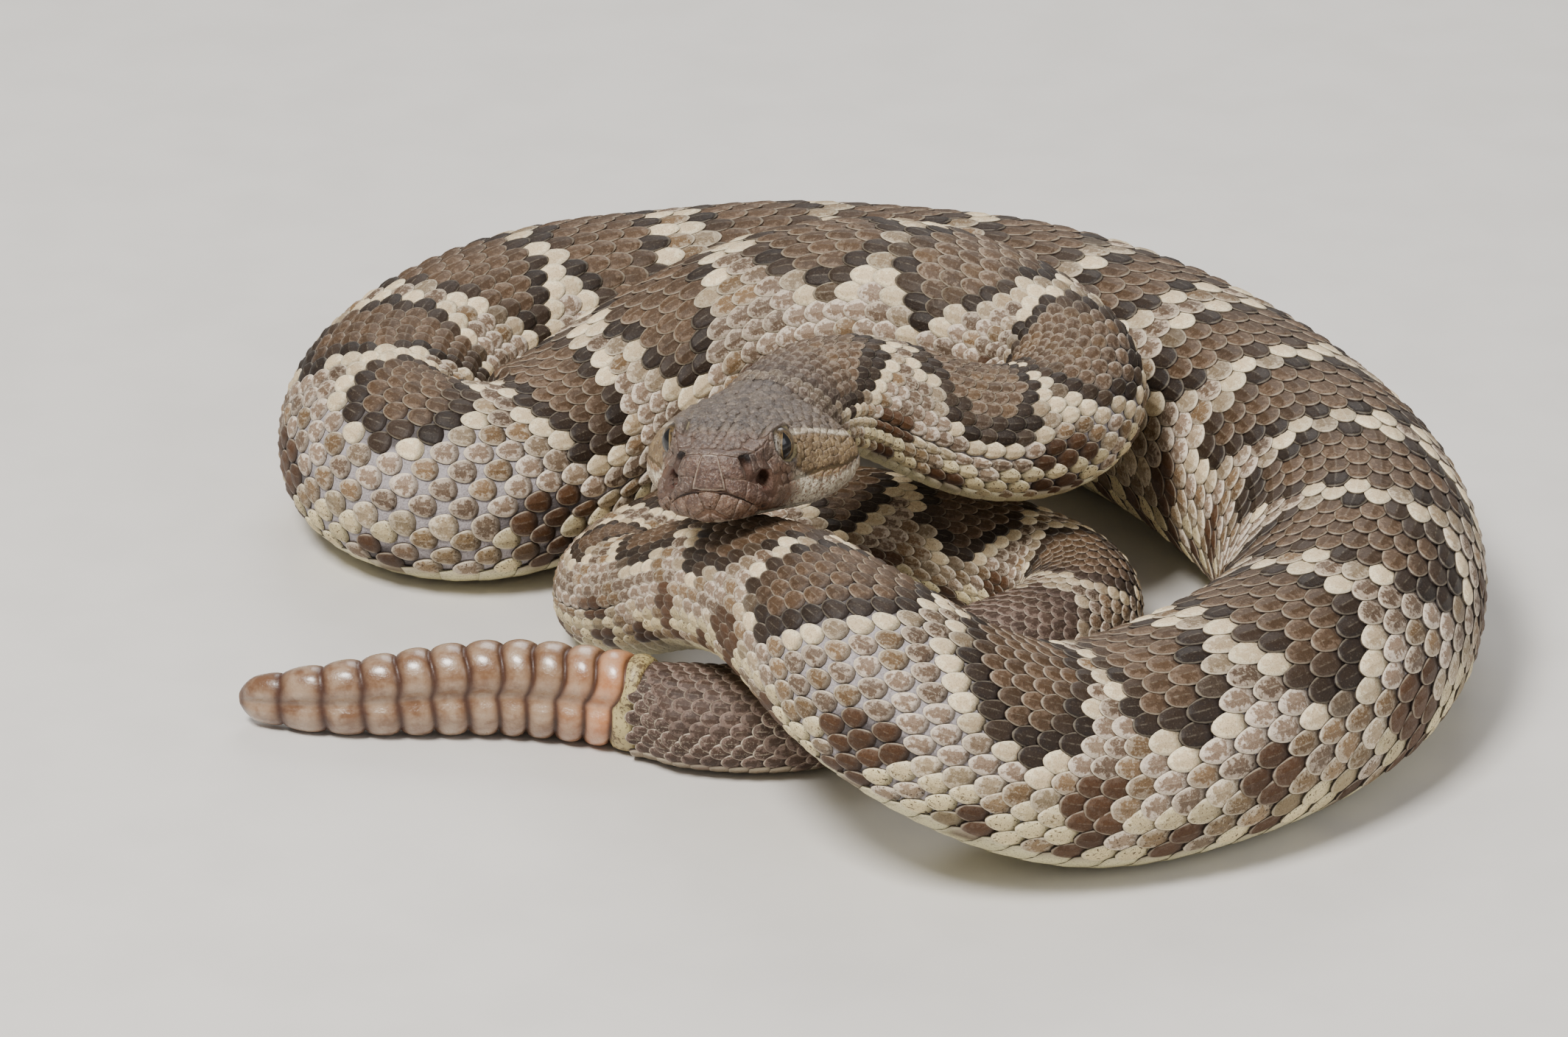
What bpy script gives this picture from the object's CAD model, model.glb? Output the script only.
"""Looks of a life-size coiled rattlesnake: skin, scales, head plates, eyes and rattle.

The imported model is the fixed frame. One skin follows the same route as its solids,
a coat's depth inside them, and solid scales lie over it. Stations, the head's own
places and the pattern's sizes are millimetres, arc lengths and meshes are metres.
"""
import itertools
import logging
import math
from collections.abc import Callable
from dataclasses import dataclass, field
from enum import Enum

import bpy
import numpy as np
from bpy.types import Material, Mesh, NodeSocket, Object
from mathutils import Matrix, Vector
from mathutils.bvhtree import BVHTree


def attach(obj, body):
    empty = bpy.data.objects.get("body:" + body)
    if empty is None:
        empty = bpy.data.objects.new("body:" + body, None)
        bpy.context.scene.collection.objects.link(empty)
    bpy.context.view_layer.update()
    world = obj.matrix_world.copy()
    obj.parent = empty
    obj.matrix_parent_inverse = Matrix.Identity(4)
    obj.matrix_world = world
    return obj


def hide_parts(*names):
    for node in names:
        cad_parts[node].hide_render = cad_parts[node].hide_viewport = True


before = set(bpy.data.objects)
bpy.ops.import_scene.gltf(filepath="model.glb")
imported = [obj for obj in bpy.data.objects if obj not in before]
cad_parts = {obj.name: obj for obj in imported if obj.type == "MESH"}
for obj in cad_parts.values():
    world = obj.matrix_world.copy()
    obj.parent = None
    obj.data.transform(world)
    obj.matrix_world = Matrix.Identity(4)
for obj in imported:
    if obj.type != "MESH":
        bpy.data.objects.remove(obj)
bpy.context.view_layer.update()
LOG = logging.getLogger("rattlesnake")

Array = np.ndarray
MM = 0.001
SEED = 20
BAKE_SPREAD = 0.003            # size of one plate on the map that the finishes are baked to
BODY = "root"

# The body's section and route, as the solids have them
TOP_RATIO = 0.98
BELLY_RATIO = 0.80
BELLY_POWER = 0.75
BELLY_FULLNESS = 1.06
ROUTE_PASSES = 60
INNER_LIMIT = 0.90
BEND_REACH = 6
ORIGIN_SHIFT = np.array([-0.01177, -0.03260, 0.0])

END_NARROWING = 0.24           # how much slimmer the tail is where the rattle begins
END_REACH = 0.006
COAT_DEPTH = 0.00050           # the skin lies this far inside the solids on the body
HEAD_DEPTH = 0.00030           # and this far on the head


@dataclass(frozen=True)
class Station:
    """One place on a route: plan position, height of the belly, half width, roll."""
    name: str
    x: float
    y: float
    lift: float
    half_width: float
    roll: float = 0.0


def stations(*rows: tuple) -> tuple:
    """A route's stations, from rows of their values."""
    return tuple(Station(*row) for row in rows)


BODY_ROUTE = stations(
    ("base", -2.54, 12.53, 31.5, 9, 3),
    ("base_end", -1.87, 15.41, 31, 8.9, 3),
    ("nape", 0.4, 20.2, 31.6, 9, 2),
    ("nape_end", 5, 24.8, 32.5, 9.2),
    ("neck1", 11.5, 27.2, 30.9, 9.5),
    ("neck2", 19, 28, 27, 10),
    ("neck3", 27.5, 28, 22.6, 10.6),
    ("neck4", 36, 29.5, 21.6, 10.8),
    ("bend1", 42.3, 35, 22.7, 11),
    ("bend2", 43.5, 43.5, 24.1, 11.6),
    ("inner0", 38, 51.5, 23.9, 12.8),
    ("inner1", 28, 59, 23.5, 14.4),
    ("inner2", 15.5, 66.5, 21.7, 15.4),
    ("inner3", 0, 70, 17.9, 15.7),
    ("inner4", -14, 68.5, 11.7, 15.8),
    ("lobe1", -26.5, 62.5, 5.5, 16),
    ("lobe2", -36.8, 53.6, 1.2, 16.2),
    ("lobe3", -47.5, 49.6, 0, 16.6),
    ("lobe4", -57.2, 54.6, 0, 16.6),
    ("lobe5", -61.3, 66, 0, 16.8),
    ("back0", -58, 81, 0, 17.2),
    ("back1", -48.5, 95, 0, 17.8),
    ("back2", -34.5, 103.5, 0, 18.4),
    ("back3", -18, 107, 0, 18.6),
    ("back4", 0, 108.3, 0, 19.2),
    ("back5", 18.5, 105.6, 0, 19.2),
    ("back6", 37.5, 97.4, 0, 19.8),
    ("back7", 56.5, 81.5, 0, 19.8),
    ("right1", 72, 57, 0, 19.8),
    ("right2", 82, 30.5, 0, 19.5),
    ("right3", 82.6, 5, 0, 19),
    ("right4", 74.6, -17, 0, 18.4),
    ("front1", 64.4, -28.8, 0, 18),
    ("front2", 54.5, -36.5, 0, 17.6),
    ("front3", 41.5, -42, 0, 16.6),
    ("front4", 29, -46.2, 5, 15.8),
    ("front5", 19, -47, 11.5, 15.1),
    ("front6", 11, -42.5, 16.5, 14.3),
    ("front7", 5, -31.5, 18.5, 12.8),
    ("front8", -2, -17.5, 18, 11.5),
    ("front9", -11, -1.5, 12.9, 10.4),
    ("front10", -20, 11, 5, 9.8),
    ("low_end", -26, 23, 0.5, 9.6),
    ("low1", -19.6, 35.6, 0, 9.6),
    ("low2", -6, 46, 0, 9.6),
    ("low3", 9.5, 47.5, 0, 9.6),
    ("low4", 24, 41, 0, 9.6),
    ("low5", 36, 33, 0, 9.6),
    ("low6", 45, 21.5, 0, 9.5),
    ("low7", 40, 9.3, 0, 9.3),
    ("low8", 28, 0.8, 0, 9),
    ("low9", 14.5, -9, 0, 8.7),
    ("tail1", 1, -16, 0, 8.4),
    ("tail2", -11, -15.5, 0, 8.1),
    ("tail_end", -19, -12.4, 0, 7.8),
)
RATTLE_ROUTE = stations(
    ("root", -19, -12.4, 0, 8.2),
    ("matrix", -27, -9.2, 0, 8.2),
    ("mid1", -39.5, -6.3, 0, 8.1),
    ("mid2", -49.6, -6.3, 0, 7.6),
    ("mid3", -62, -6.5, 0, 6.4),
    ("mid4", -70, -5.4, 0, 5.4),
    ("tip", -78.7, -3, 1.1, 3.1),
)
FLESH_NODES = ("head", "lower_jaw", "neck", "neck_bend", "fore_body", "left_bend", "back_body",
               "right_back", "right_bend", "front_body", "crossing", "low_bend", "rear_body",
               "tail")
# Coat pieces from head to tail: name, first station, last station, material slot
COAT_LENGTHS = (
    ("scales_neck", "base", "inner1", "neck"),
    ("scales_fore_body", "inner1", "back1", "fore_body"),
    ("scales_back", "back1", "right1", "back_body"),
    ("scales_right", "right1", "front4", "right_bend"),
    ("scales_crossing", "front4", "low3", "crossing"),
    ("scales_tail", "low3", "tail_end", "tail"),
)


def smooth_step(value: Array) -> Array:
    """Ease from 0 to 1."""
    t = np.clip(value, 0.0, 1.0)
    return t * t * (3 - 2 * t)


def ramp(value: Array, start: float, span: float) -> Array:
    """Ease from 0 at the start to 1 a span later."""
    return smooth_step((value - start) / span)


def fall(value: Array, end: float, span: float) -> Array:
    """Ease from 1, a span before the end, to 0 at the end."""
    return smooth_step((end - value) / span)


def unit(rows: Array) -> Array:
    """Scale each row to length 1."""
    return rows / (np.linalg.norm(rows, axis=-1, keepdims=True) + 1e-12)


def bell(value: Array, reach: float, power: int = 2) -> Array:
    """1 at zero, falling off on both sides to 1 / e at the reach."""
    return np.exp(-(value / reach) ** power)


def spread(gaps: tuple, radii: tuple) -> Array:
    """Squared distance from the middle of an ellipsoid, 1 at its surface."""
    return sum((gap / radius) ** 2 for gap, radius in zip(gaps, radii))


def mirrored(rows: Array, sign: int) -> Array:
    """Head places on the left for a sign of 1, on the right for -1."""
    return rows * np.array([1, sign, 1])


def filled(colour: tuple, count: int) -> Array:
    """Rows of one colour."""
    return np.tile(np.array(colour), (count, 1))


def numbered(rows: int, columns: int, start: int = 0) -> Array:
    """Vertex numbers of a grid, row by row."""
    return start + np.arange(rows * columns).reshape(rows, columns)


def tube_quads(grid: Array) -> Array:
    """Four corners of each face between neighbouring closed rings of vertex numbers."""
    after = np.roll(grid, -1, axis=1)
    return np.stack([grid[:-1], grid[1:], after[1:], after[:-1]], axis=-1).reshape(-1, 4)


def end_fan(ring: Array, hub: int) -> Array:
    """Triangles from a closed ring of vertex numbers to one hub."""
    return np.stack([ring, np.roll(ring, -1), np.full(len(ring), hub)], axis=-1)


def closed_tube(grid: Array) -> tuple:
    """Loops and corner counts of closed rings with a hub, numbered after them, at each end."""
    quads = tube_quads(grid)
    front = end_fan(grid[0], grid.size)
    rear = end_fan(grid[-1], grid.size + 1)[:, (1, 0, 2)]
    return (np.concatenate([quads.ravel(), front.ravel(), rear.ravel()]),
            np.concatenate([np.full(len(quads), 4), np.full(len(front) + len(rear), 3)]))


def on_line(first: Array, second: Array, low: float, high: float, t: float) -> Array:
    """Read the line through two rows, which stand at low and high, at t."""
    return (high - t) / (high - low) * first + (t - low) / (high - low) * second


def spline_through(rows: Array, samples: int) -> Array:
    """Sample a centripetal spline through every row.

    Args:
        rows: One row of values for each place.
        samples: Samples between neighbouring places.

    Returns:
        The sampled rows, first and last place included.
    """
    ends = np.vstack([2 * rows[0] - rows[1], rows, 2 * rows[-1] - rows[-2]])
    out = []
    for i in range(1, len(ends) - 2):
        near = ends[i - 1:i + 3]
        knots = [0.0]
        for first, second in zip(near, near[1:]):
            knots.append(knots[-1] + np.linalg.norm((second - first)[:3]) ** 0.5)
        for t in np.linspace(knots[1], knots[2], samples, endpoint=False):
            three = [on_line(near[k], near[k + 1], knots[k], knots[k + 1], t) for k in range(3)]
            two = [on_line(three[k], three[k + 1], knots[k], knots[k + 2], t) for k in range(2)]
            out.append(on_line(*two, knots[1], knots[2], t))
    out.append(rows[-1])
    return np.array(out)


class Route:
    """The axis of a swept length, with widths and cross frames for whole arrays of places."""

    def __init__(self, stations: tuple, passes: int) -> None:
        """Relax the stations into an even axis.

        Args:
            stations: The places the axis is drawn through.
            passes: Averaging passes that spread each bend.
        """
        rows = [(s.x * MM, s.y * MM, (s.lift + BELLY_RATIO * s.half_width) * MM,
                 s.half_width * MM, math.radians(s.roll)) for s in stations]
        dense = spline_through(np.array(rows), 12)
        steps = np.linalg.norm(np.diff(dense[:, :3], axis=0), axis=1)
        arc = np.concatenate([[0.0], np.cumsum(steps)])
        even = np.linspace(0.0, arc[-1], int(round(arc[-1] / MM)) + 1)
        table = np.stack([np.interp(even, arc, dense[:, k]) for k in range(5)], axis=1)
        for _ in range(passes):
            table[1:-1] = 0.25 * table[:-2] + 0.5 * table[1:-1] + 0.25 * table[2:]
        table[:, :3] += ORIGIN_SHIFT
        self.stations = stations
        self.axis = table[:, :3]
        self.half_width = table[:, 3]
        self.roll = table[:, 4]
        steps = np.linalg.norm(np.diff(self.axis, axis=0), axis=1)
        self.arc = np.concatenate([[0.0], np.cumsum(steps)])
        self.length = float(self.arc[-1])
        tangent = np.gradient(self.axis, axis=0)
        speed = np.linalg.norm(tangent, axis=1)[:, None]
        self.tangent = tangent / speed
        self.curve = self.widened(np.gradient(self.tangent, axis=0) / speed)

    @staticmethod
    def widened(curve: Array) -> Array:
        """Give each place the strength of the tightest bend near it, eased at both ends."""
        strength = np.linalg.norm(curve, axis=1)
        direction = curve.copy()
        for _ in range(BEND_REACH):
            direction[1:-1] = (direction[:-2] + direction[1:-1] + direction[2:]) / 3
        direction /= np.linalg.norm(direction, axis=1)[:, None] + 1e-9
        padded = np.pad(strength, BEND_REACH, mode="edge")
        strength = np.max([padded[k:k + len(strength)] for k in range(2 * BEND_REACH + 1)], axis=0)
        for _ in range(BEND_REACH):
            strength[1:-1] = (strength[:-2] + strength[1:-1] + strength[2:]) / 3
        return direction * strength[:, None]

    def arc_at(self, name: str) -> float:
        """Arc length of the place nearest to a named station."""
        if name == self.stations[0].name:
            return 0.0
        if name == self.stations[-1].name:
            return self.length
        found = next(s for s in self.stations if s.name == name)
        height = (found.lift + BELLY_RATIO * found.half_width) * MM
        spot = np.array([found.x * MM, found.y * MM, height]) + ORIGIN_SHIFT
        return float(self.arc[np.argmin(np.linalg.norm(self.axis - spot, axis=1))])

    def read(self, values: Array, place: Array) -> Array:
        """Read a table of the route at arc lengths, one column or three."""
        if values.ndim == 1:
            return np.interp(place, self.arc, values)
        return np.stack([np.interp(place, self.arc, values[:, k]) for k in range(3)], axis=-1)

    def frames(self, place: Array) -> tuple:
        """Cross frames at arc lengths; a place before or past the route runs straight on.

        Args:
            place: Arc lengths in metres, of any shape.

        Returns:
            Axis points, tangents, ups, sides, curvature vectors and half widths.
        """
        tangent = unit(self.read(self.tangent, place))
        beyond = np.minimum(place, 0.0) + np.maximum(place - self.length, 0.0)
        axis = self.read(self.axis, place) + tangent * beyond[..., None]
        up = unit(np.array([0.0, 0.0, 1.0]) - tangent * tangent[..., 2:3])
        side = np.cross(up, tangent)
        roll = self.read(self.roll, place)[..., None]
        turned_up = up * np.cos(roll) - side * np.sin(roll)
        turned_side = side * np.cos(roll) + up * np.sin(roll)
        return (axis, tangent, turned_up, turned_side, self.read(self.curve, place),
                self.read(self.half_width, place))


def belly_section(angle: Array) -> tuple:
    """Side and up factors of the body's section, angle zero at the middle of the back."""
    rise = np.cos(angle)
    depth = np.minimum(1.0, BELLY_FULLNESS * np.abs(rise) ** BELLY_POWER)
    return np.sin(angle), np.where(rise > 0, TOP_RATIO * rise, -BELLY_RATIO * depth)


class BodySurface:
    """The skin of the body as a function of arc length and angle round it."""

    def __init__(self, route: Route, depth: float) -> None:
        """Keep the route and how far the skin lies under the solids."""
        self.route = route
        self.depth = depth
        angles = np.linspace(0.0, math.pi, 721)
        side, rise = belly_section(angles)
        steps = np.hypot(np.diff(side), np.diff(rise))
        self.section_angle = angles
        self.section_arc = np.concatenate([[0.0], np.cumsum(steps)])

    def angle_at(self, share: Array) -> Array:
        """Angle at an arc distance from the back's middle, in half widths; keeps the sign."""
        return np.sign(share) * np.interp(np.abs(share), self.section_arc, self.section_angle)

    def arc_of(self, angle: Array) -> Array:
        """Arc distance from the back's middle at an angle, in half widths."""
        return np.interp(np.abs(angle), self.section_angle, self.section_arc)

    def at(self, place: Array, angle: Array) -> Array:
        """Points of the skin at arc lengths and angles."""
        axis, _, up, side, curve, width = self.route.frames(place)
        slim = (width - self.depth)[..., None]
        bend = np.linalg.norm(curve, axis=-1)
        inward = curve / (bend[..., None] + 1e-9)
        squeeze = np.minimum(1.0, INNER_LIMIT / np.maximum(bend * width, 1e-6))[..., None]
        across, rise = belly_section(angle)
        across = across * (1 - END_NARROWING * smooth_step((place - self.route.length) / END_REACH + 1))
        offset = slim * (across[..., None] * side + rise[..., None] * up)
        reach = np.maximum(np.sum(offset * inward, axis=-1, keepdims=True), 0.0)
        return axis + offset + inward * reach * (squeeze - 1.0)

    def patch(self, place: Array, angle: Array) -> tuple:
        """Points with the stretch along and round the body and the outward normals."""
        along_step = 0.0004
        round_step = 0.01
        ahead = self.at(place + along_step, angle)
        behind = self.at(place - along_step, angle)
        along = (ahead - behind) / (2 * along_step)
        around = (self.at(place, angle + round_step) - self.at(place, angle - round_step))
        around = around / (2 * round_step)
        normal = unit(np.cross(around, along))
        middle = self.at(place, angle)
        outward = middle - self.route.frames(place)[0]
        normal *= np.sign(np.sum(normal * outward, axis=-1, keepdims=True))
        return middle, along, around, normal


# Head pose and sections, as the solids have them
SNOUT = np.array([-10.4, -21.5, 47.9])
HEAD_YAW = math.radians(13.0)
HEAD_PITCH = math.radians(10.0)
HEAD_ROLL = math.radians(3.0)
HEAD_LENGTH = 36.0
HEAD_AXIS_HEIGHT = -3.0
CORE_HEIGHT = -2.5             # outward directions start from a line at this height
CORE_BEHIND = 3.0              # and this far behind the place in question
NOSE_TIP = np.array([-0.42, 0.0, -2.35])
CAP_MIDDLE = np.array([-0.25, 0.0, -2.35])
CHIN_SETBACK = 0.3
CHIN_REACH = 6.0
LOWER_POWER = 2.2
NECK_BLEND_START = 29.0
# Distance back from the snout, half width, top, bottom, widest level, squareness
HEAD_SECTIONS = np.array((
    (0.0, 2.9, 2.3, -6.3, -2.0, 2.6),
    (0.5, 4.3, 2.9, -7.0, -2.1, 2.7),
    (1.5, 5.3, 3.1, -7.4, -2.3, 2.9),
    (3.0, 6.2, 3.3, -7.7, -2.6, 3.0),
    (6.0, 7.3, 3.7, -8.1, -3.0, 3.2),
    (9.0, 8.3, 4.2, -8.6, -3.3, 3.2),
    (12.0, 9.5, 4.6, -9.0, -3.5, 3.0),
    (16.0, 11.3, 4.8, -9.5, -3.7, 2.5),
    (20.0, 13.2, 4.9, -9.9, -3.8, 2.1),
    (25.0, 14.8, 4.9, -10.3, -3.8, 1.85),
    (29.0, 15.2, 4.9, -10.4, -3.8, 1.75),
    (32.5, 12.6, 5.2, -10.3, -3.4, 1.85),
    (36.0, 9.0, 5.8, -10.2, -3.0, 2.0),
))
MOUTH_LINE = np.array(((-0.4, -2.15), (-0.14, -2.5), (0.0, -2.75), (0.25, -3.0), (0.6, -3.4),
                       (1.4, -3.95), (2.2, -4.4), (3.5, -5.05), (5.0, -5.8), (7.0, -6.6),
                       (8.8, -7.1), (12.0, -7.5), (16.0, -7.4), (20.0, -7.0), (24.0, -6.3),
                       (27.0, -5.5), (30.0, -5.3)))
MOUTH_END = 28.0
EYE_RADIUS = 2.6
EYE_PLACE = np.array([11.3, 6.95, 1.8])
EYE_OPENING = 2.15
BROW_PLACE = np.array([11.0, 6.6, 4.6])


def eased_column(back: Array, column: int) -> Array:
    """Smoothly read one column of the head's section table at distances back."""
    places = HEAD_SECTIONS[:, 0]
    values = HEAD_SECTIONS[:, column]
    slopes = np.gradient(values, places)
    i = np.clip(np.searchsorted(places, back) - 1, 0, len(places) - 2)
    span = places[i + 1] - places[i]
    t = (back - places[i]) / span
    return ((2 * t ** 3 - 3 * t ** 2 + 1) * values[i] + (t ** 3 - 2 * t ** 2 + t) * span
            * slopes[i] + (3 * t ** 2 - 2 * t ** 3) * values[i + 1]
            + (t ** 3 - t ** 2) * span * slopes[i + 1])


def signed_power(value: Array, power: Array) -> Array:
    """A power that keeps the sign of its base."""
    return np.sign(value) * np.abs(value) ** power


def mouth_height(back: Array) -> Array:
    """Height of the mouth line at distances back."""
    return np.interp(back, MOUTH_LINE[:, 0], MOUTH_LINE[:, 1])


def eye_zone(back: Array, out: Array, height: Array) -> tuple:
    """Distance from the eye's middle as seen from the side, and the share of lying beside it."""
    return (np.hypot(back - EYE_PLACE[0], height - EYE_PLACE[2]), ramp(out, 5.2, 0.8))


def out_of_head(spot: Array) -> Array:
    """Direction from the head's core to a place on its skin."""
    return spot - np.array([spot[0] + CORE_BEHIND, 0.0, CORE_HEIGHT])


class HeadSurface:
    """The skin of the head in its own directions: back, across and up, in millimetres.

    Across is positive on the snake's left, which the camera sees on the right.
    """

    def __init__(self, body: BodySurface) -> None:
        """Work out the head's own directions."""
        self.body = body
        yaw, pitch, roll = HEAD_YAW, HEAD_PITCH, HEAD_ROLL
        forward = np.array([-math.sin(yaw) * math.cos(pitch),
                            -math.cos(yaw) * math.cos(pitch), math.sin(pitch)])
        side = np.array([math.cos(yaw), -math.sin(yaw), 0.0])
        up = np.cross(forward, side)
        self.origin = SNOUT * MM + ORIGIN_SHIFT
        self.basis = np.stack([-forward, side * math.cos(roll) + up * math.sin(roll),
                               up * math.cos(roll) - side * math.sin(roll)])

    def world(self, local: Array) -> Array:
        """Places in the model of points in the head's own millimetres."""
        return self.origin + local @ self.basis * MM

    def local(self, world: Array) -> Array:
        """The head's own millimetres of places in the model."""
        return (world - self.origin) @ self.basis.T / MM

    def section(self, back: Array, angle: Array) -> tuple:
        """Across and height of the bare head section at distances back and angles."""
        shrink = HEAD_DEPTH / MM
        width = eased_column(back, 1) - shrink
        top = eased_column(back, 2) - shrink
        bottom = eased_column(back, 3) + shrink
        level = eased_column(back, 4)
        power = eased_column(back, 5)
        rise = np.cos(angle)
        turn = np.sin(angle)
        upper = rise > 0
        across = width * signed_power(turn, np.where(upper, 2 / power, 2 / LOWER_POWER))
        height = np.where(upper, level + (top - level) * np.abs(rise) ** (2 / power),
                          level - (level - bottom) * np.abs(rise) ** (2 / LOWER_POWER))
        return across, height

    def mouth_angle(self, back: float) -> float:
        """Angle round the section at which the mouth line crosses it."""
        angles = np.linspace(0.02, math.pi - 0.02, 600)
        _, height = self.section(np.full_like(angles, back), angles)
        target = mouth_height(back)
        return float(np.interp(-target, -height, angles))

    def ring(self, back: float, angle: Array) -> Array:
        """Local points of one section, blended into the neck near the nape."""
        backs = np.full_like(angle, back)
        across, height = self.section(backs, angle)
        mouth = mouth_height(back)
        under = smooth_step((mouth - height) / 0.5)
        setback = CHIN_SETBACK * under * max(0.0, 1 - back / CHIN_REACH)
        points = np.stack([backs + setback, -across, height], axis=-1)
        share = float(smooth_step(np.array((back - NECK_BLEND_START) / (HEAD_LENGTH - NECK_BLEND_START))))
        if share > 0:
            place = np.full_like(angle, (back - HEAD_LENGTH) * MM)
            neck = self.local(self.body.at(place, angle))
            points = points + (neck - points) * share
        return points


class Hue(Enum):
    """Kinds of scale: the colour toward the edge, then the colour of the centre, both linear."""
    BLOTCH = ((0.152, 0.100, 0.064), (0.078, 0.044, 0.022))
    BLOTCH_EDGE = ((0.020, 0.013, 0.010), (0.026, 0.016, 0.010))
    GOLD = ((0.340, 0.262, 0.168), (0.190, 0.112, 0.046))
    CREAM = ((0.850, 0.722, 0.480), (0.690, 0.540, 0.335))
    GROUND = ((0.420, 0.330, 0.245), (0.110, 0.070, 0.044))
    LILAC = ((0.660, 0.555, 0.455), (0.260, 0.182, 0.126))
    YELLOW = ((0.770, 0.670, 0.390), (0.700, 0.580, 0.330))
    FLANK_SPOT = ((0.105, 0.062, 0.038), (0.075, 0.034, 0.014))
    TAIL = ((0.185, 0.128, 0.104), (0.070, 0.043, 0.032))
    NAPE = ((0.185, 0.145, 0.115), (0.080, 0.056, 0.043))

    @property
    def edge(self) -> tuple:
        """Colour toward the scale's edge."""
        return self.value[0]

    @property
    def core(self) -> tuple:
        """Colour of the scale's centre."""
        return self.value[1]


@dataclass(frozen=True)
class Palette:
    """Linear colours of the skin, the belly and the head."""
    belly: tuple = (0.660, 0.610, 0.370)
    bare_skin: tuple = (0.410, 0.372, 0.380)
    bare_dark: tuple = (0.030, 0.023, 0.022)
    crown: tuple = (0.138, 0.103, 0.077)
    crown_dark: tuple = (0.070, 0.051, 0.042)
    crown_tan: tuple = (0.290, 0.222, 0.155)
    snout: tuple = (0.124, 0.064, 0.042)
    snout_gray: tuple = (0.130, 0.090, 0.068)
    stripe: tuple = (0.270, 0.182, 0.085)
    labial: tuple = (0.780, 0.700, 0.530)
    labial_front: tuple = (0.170, 0.092, 0.056)
    chin: tuple = (0.150, 0.080, 0.046)
    throat: tuple = (0.640, 0.580, 0.450)
    socket: tuple = (0.014, 0.009, 0.008)
    pit: tuple = (0.090, 0.022, 0.015)
    lid: tuple = (0.420, 0.350, 0.190)


PALETTE = Palette()


def blend(first: Array, second: tuple, share: Array) -> Array:
    """Mix rows of colour with a colour, or with other rows, by a share for each row."""
    return first + (np.array(second) - first) * np.clip(share, 0, 1)[:, None]


@dataclass(frozen=True)
class Opening:
    """A nostril or heat pit; its place is the left one's, in the head's millimetres."""
    place: tuple
    radii: tuple
    depth: float
    shade_reach: float
    shade: float
    floor_radius: float
    floor: tuple
    shift: tuple = (0.0, 0.0, 0.0)     # added to the place on the left, taken off on the right
    right_extra: float = 0.0           # how much deeper the right one is

    def middle(self, across: Array) -> Array:
        """Its middle on the same side as each sample."""
        side = np.where(across < 0, -1.0, 1.0)[:, None]
        whole = np.ones_like(side)
        return (np.array(self.place) + side * np.array(self.shift)) * np.hstack([whole, side, whole])

    def gaps(self, back: Array, out: Array, height: Array, sign: Array) -> list:
        """Distances of places from its middle, with a sign of 1 on the left and -1 on the right."""
        return [own - middle - sign * move
                for own, middle, move in zip((back, out, height), self.place, self.shift)]


NOSTRIL = Opening((1.9, 4.9, 1.9), (0.95, 1.10, 1.70), 1.5, 1.7, 0.55, 1.35, PALETTE.socket)
PIT = Opening((3.4, 6.1, -1.5), (1.25, 1.45, 1.20), 0.6, 2.1, 0.45, 1.55, PALETTE.pit, (1.0, 0.5, 0.0), 0.7)
OPENINGS = (NOSTRIL, PIT)


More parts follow.
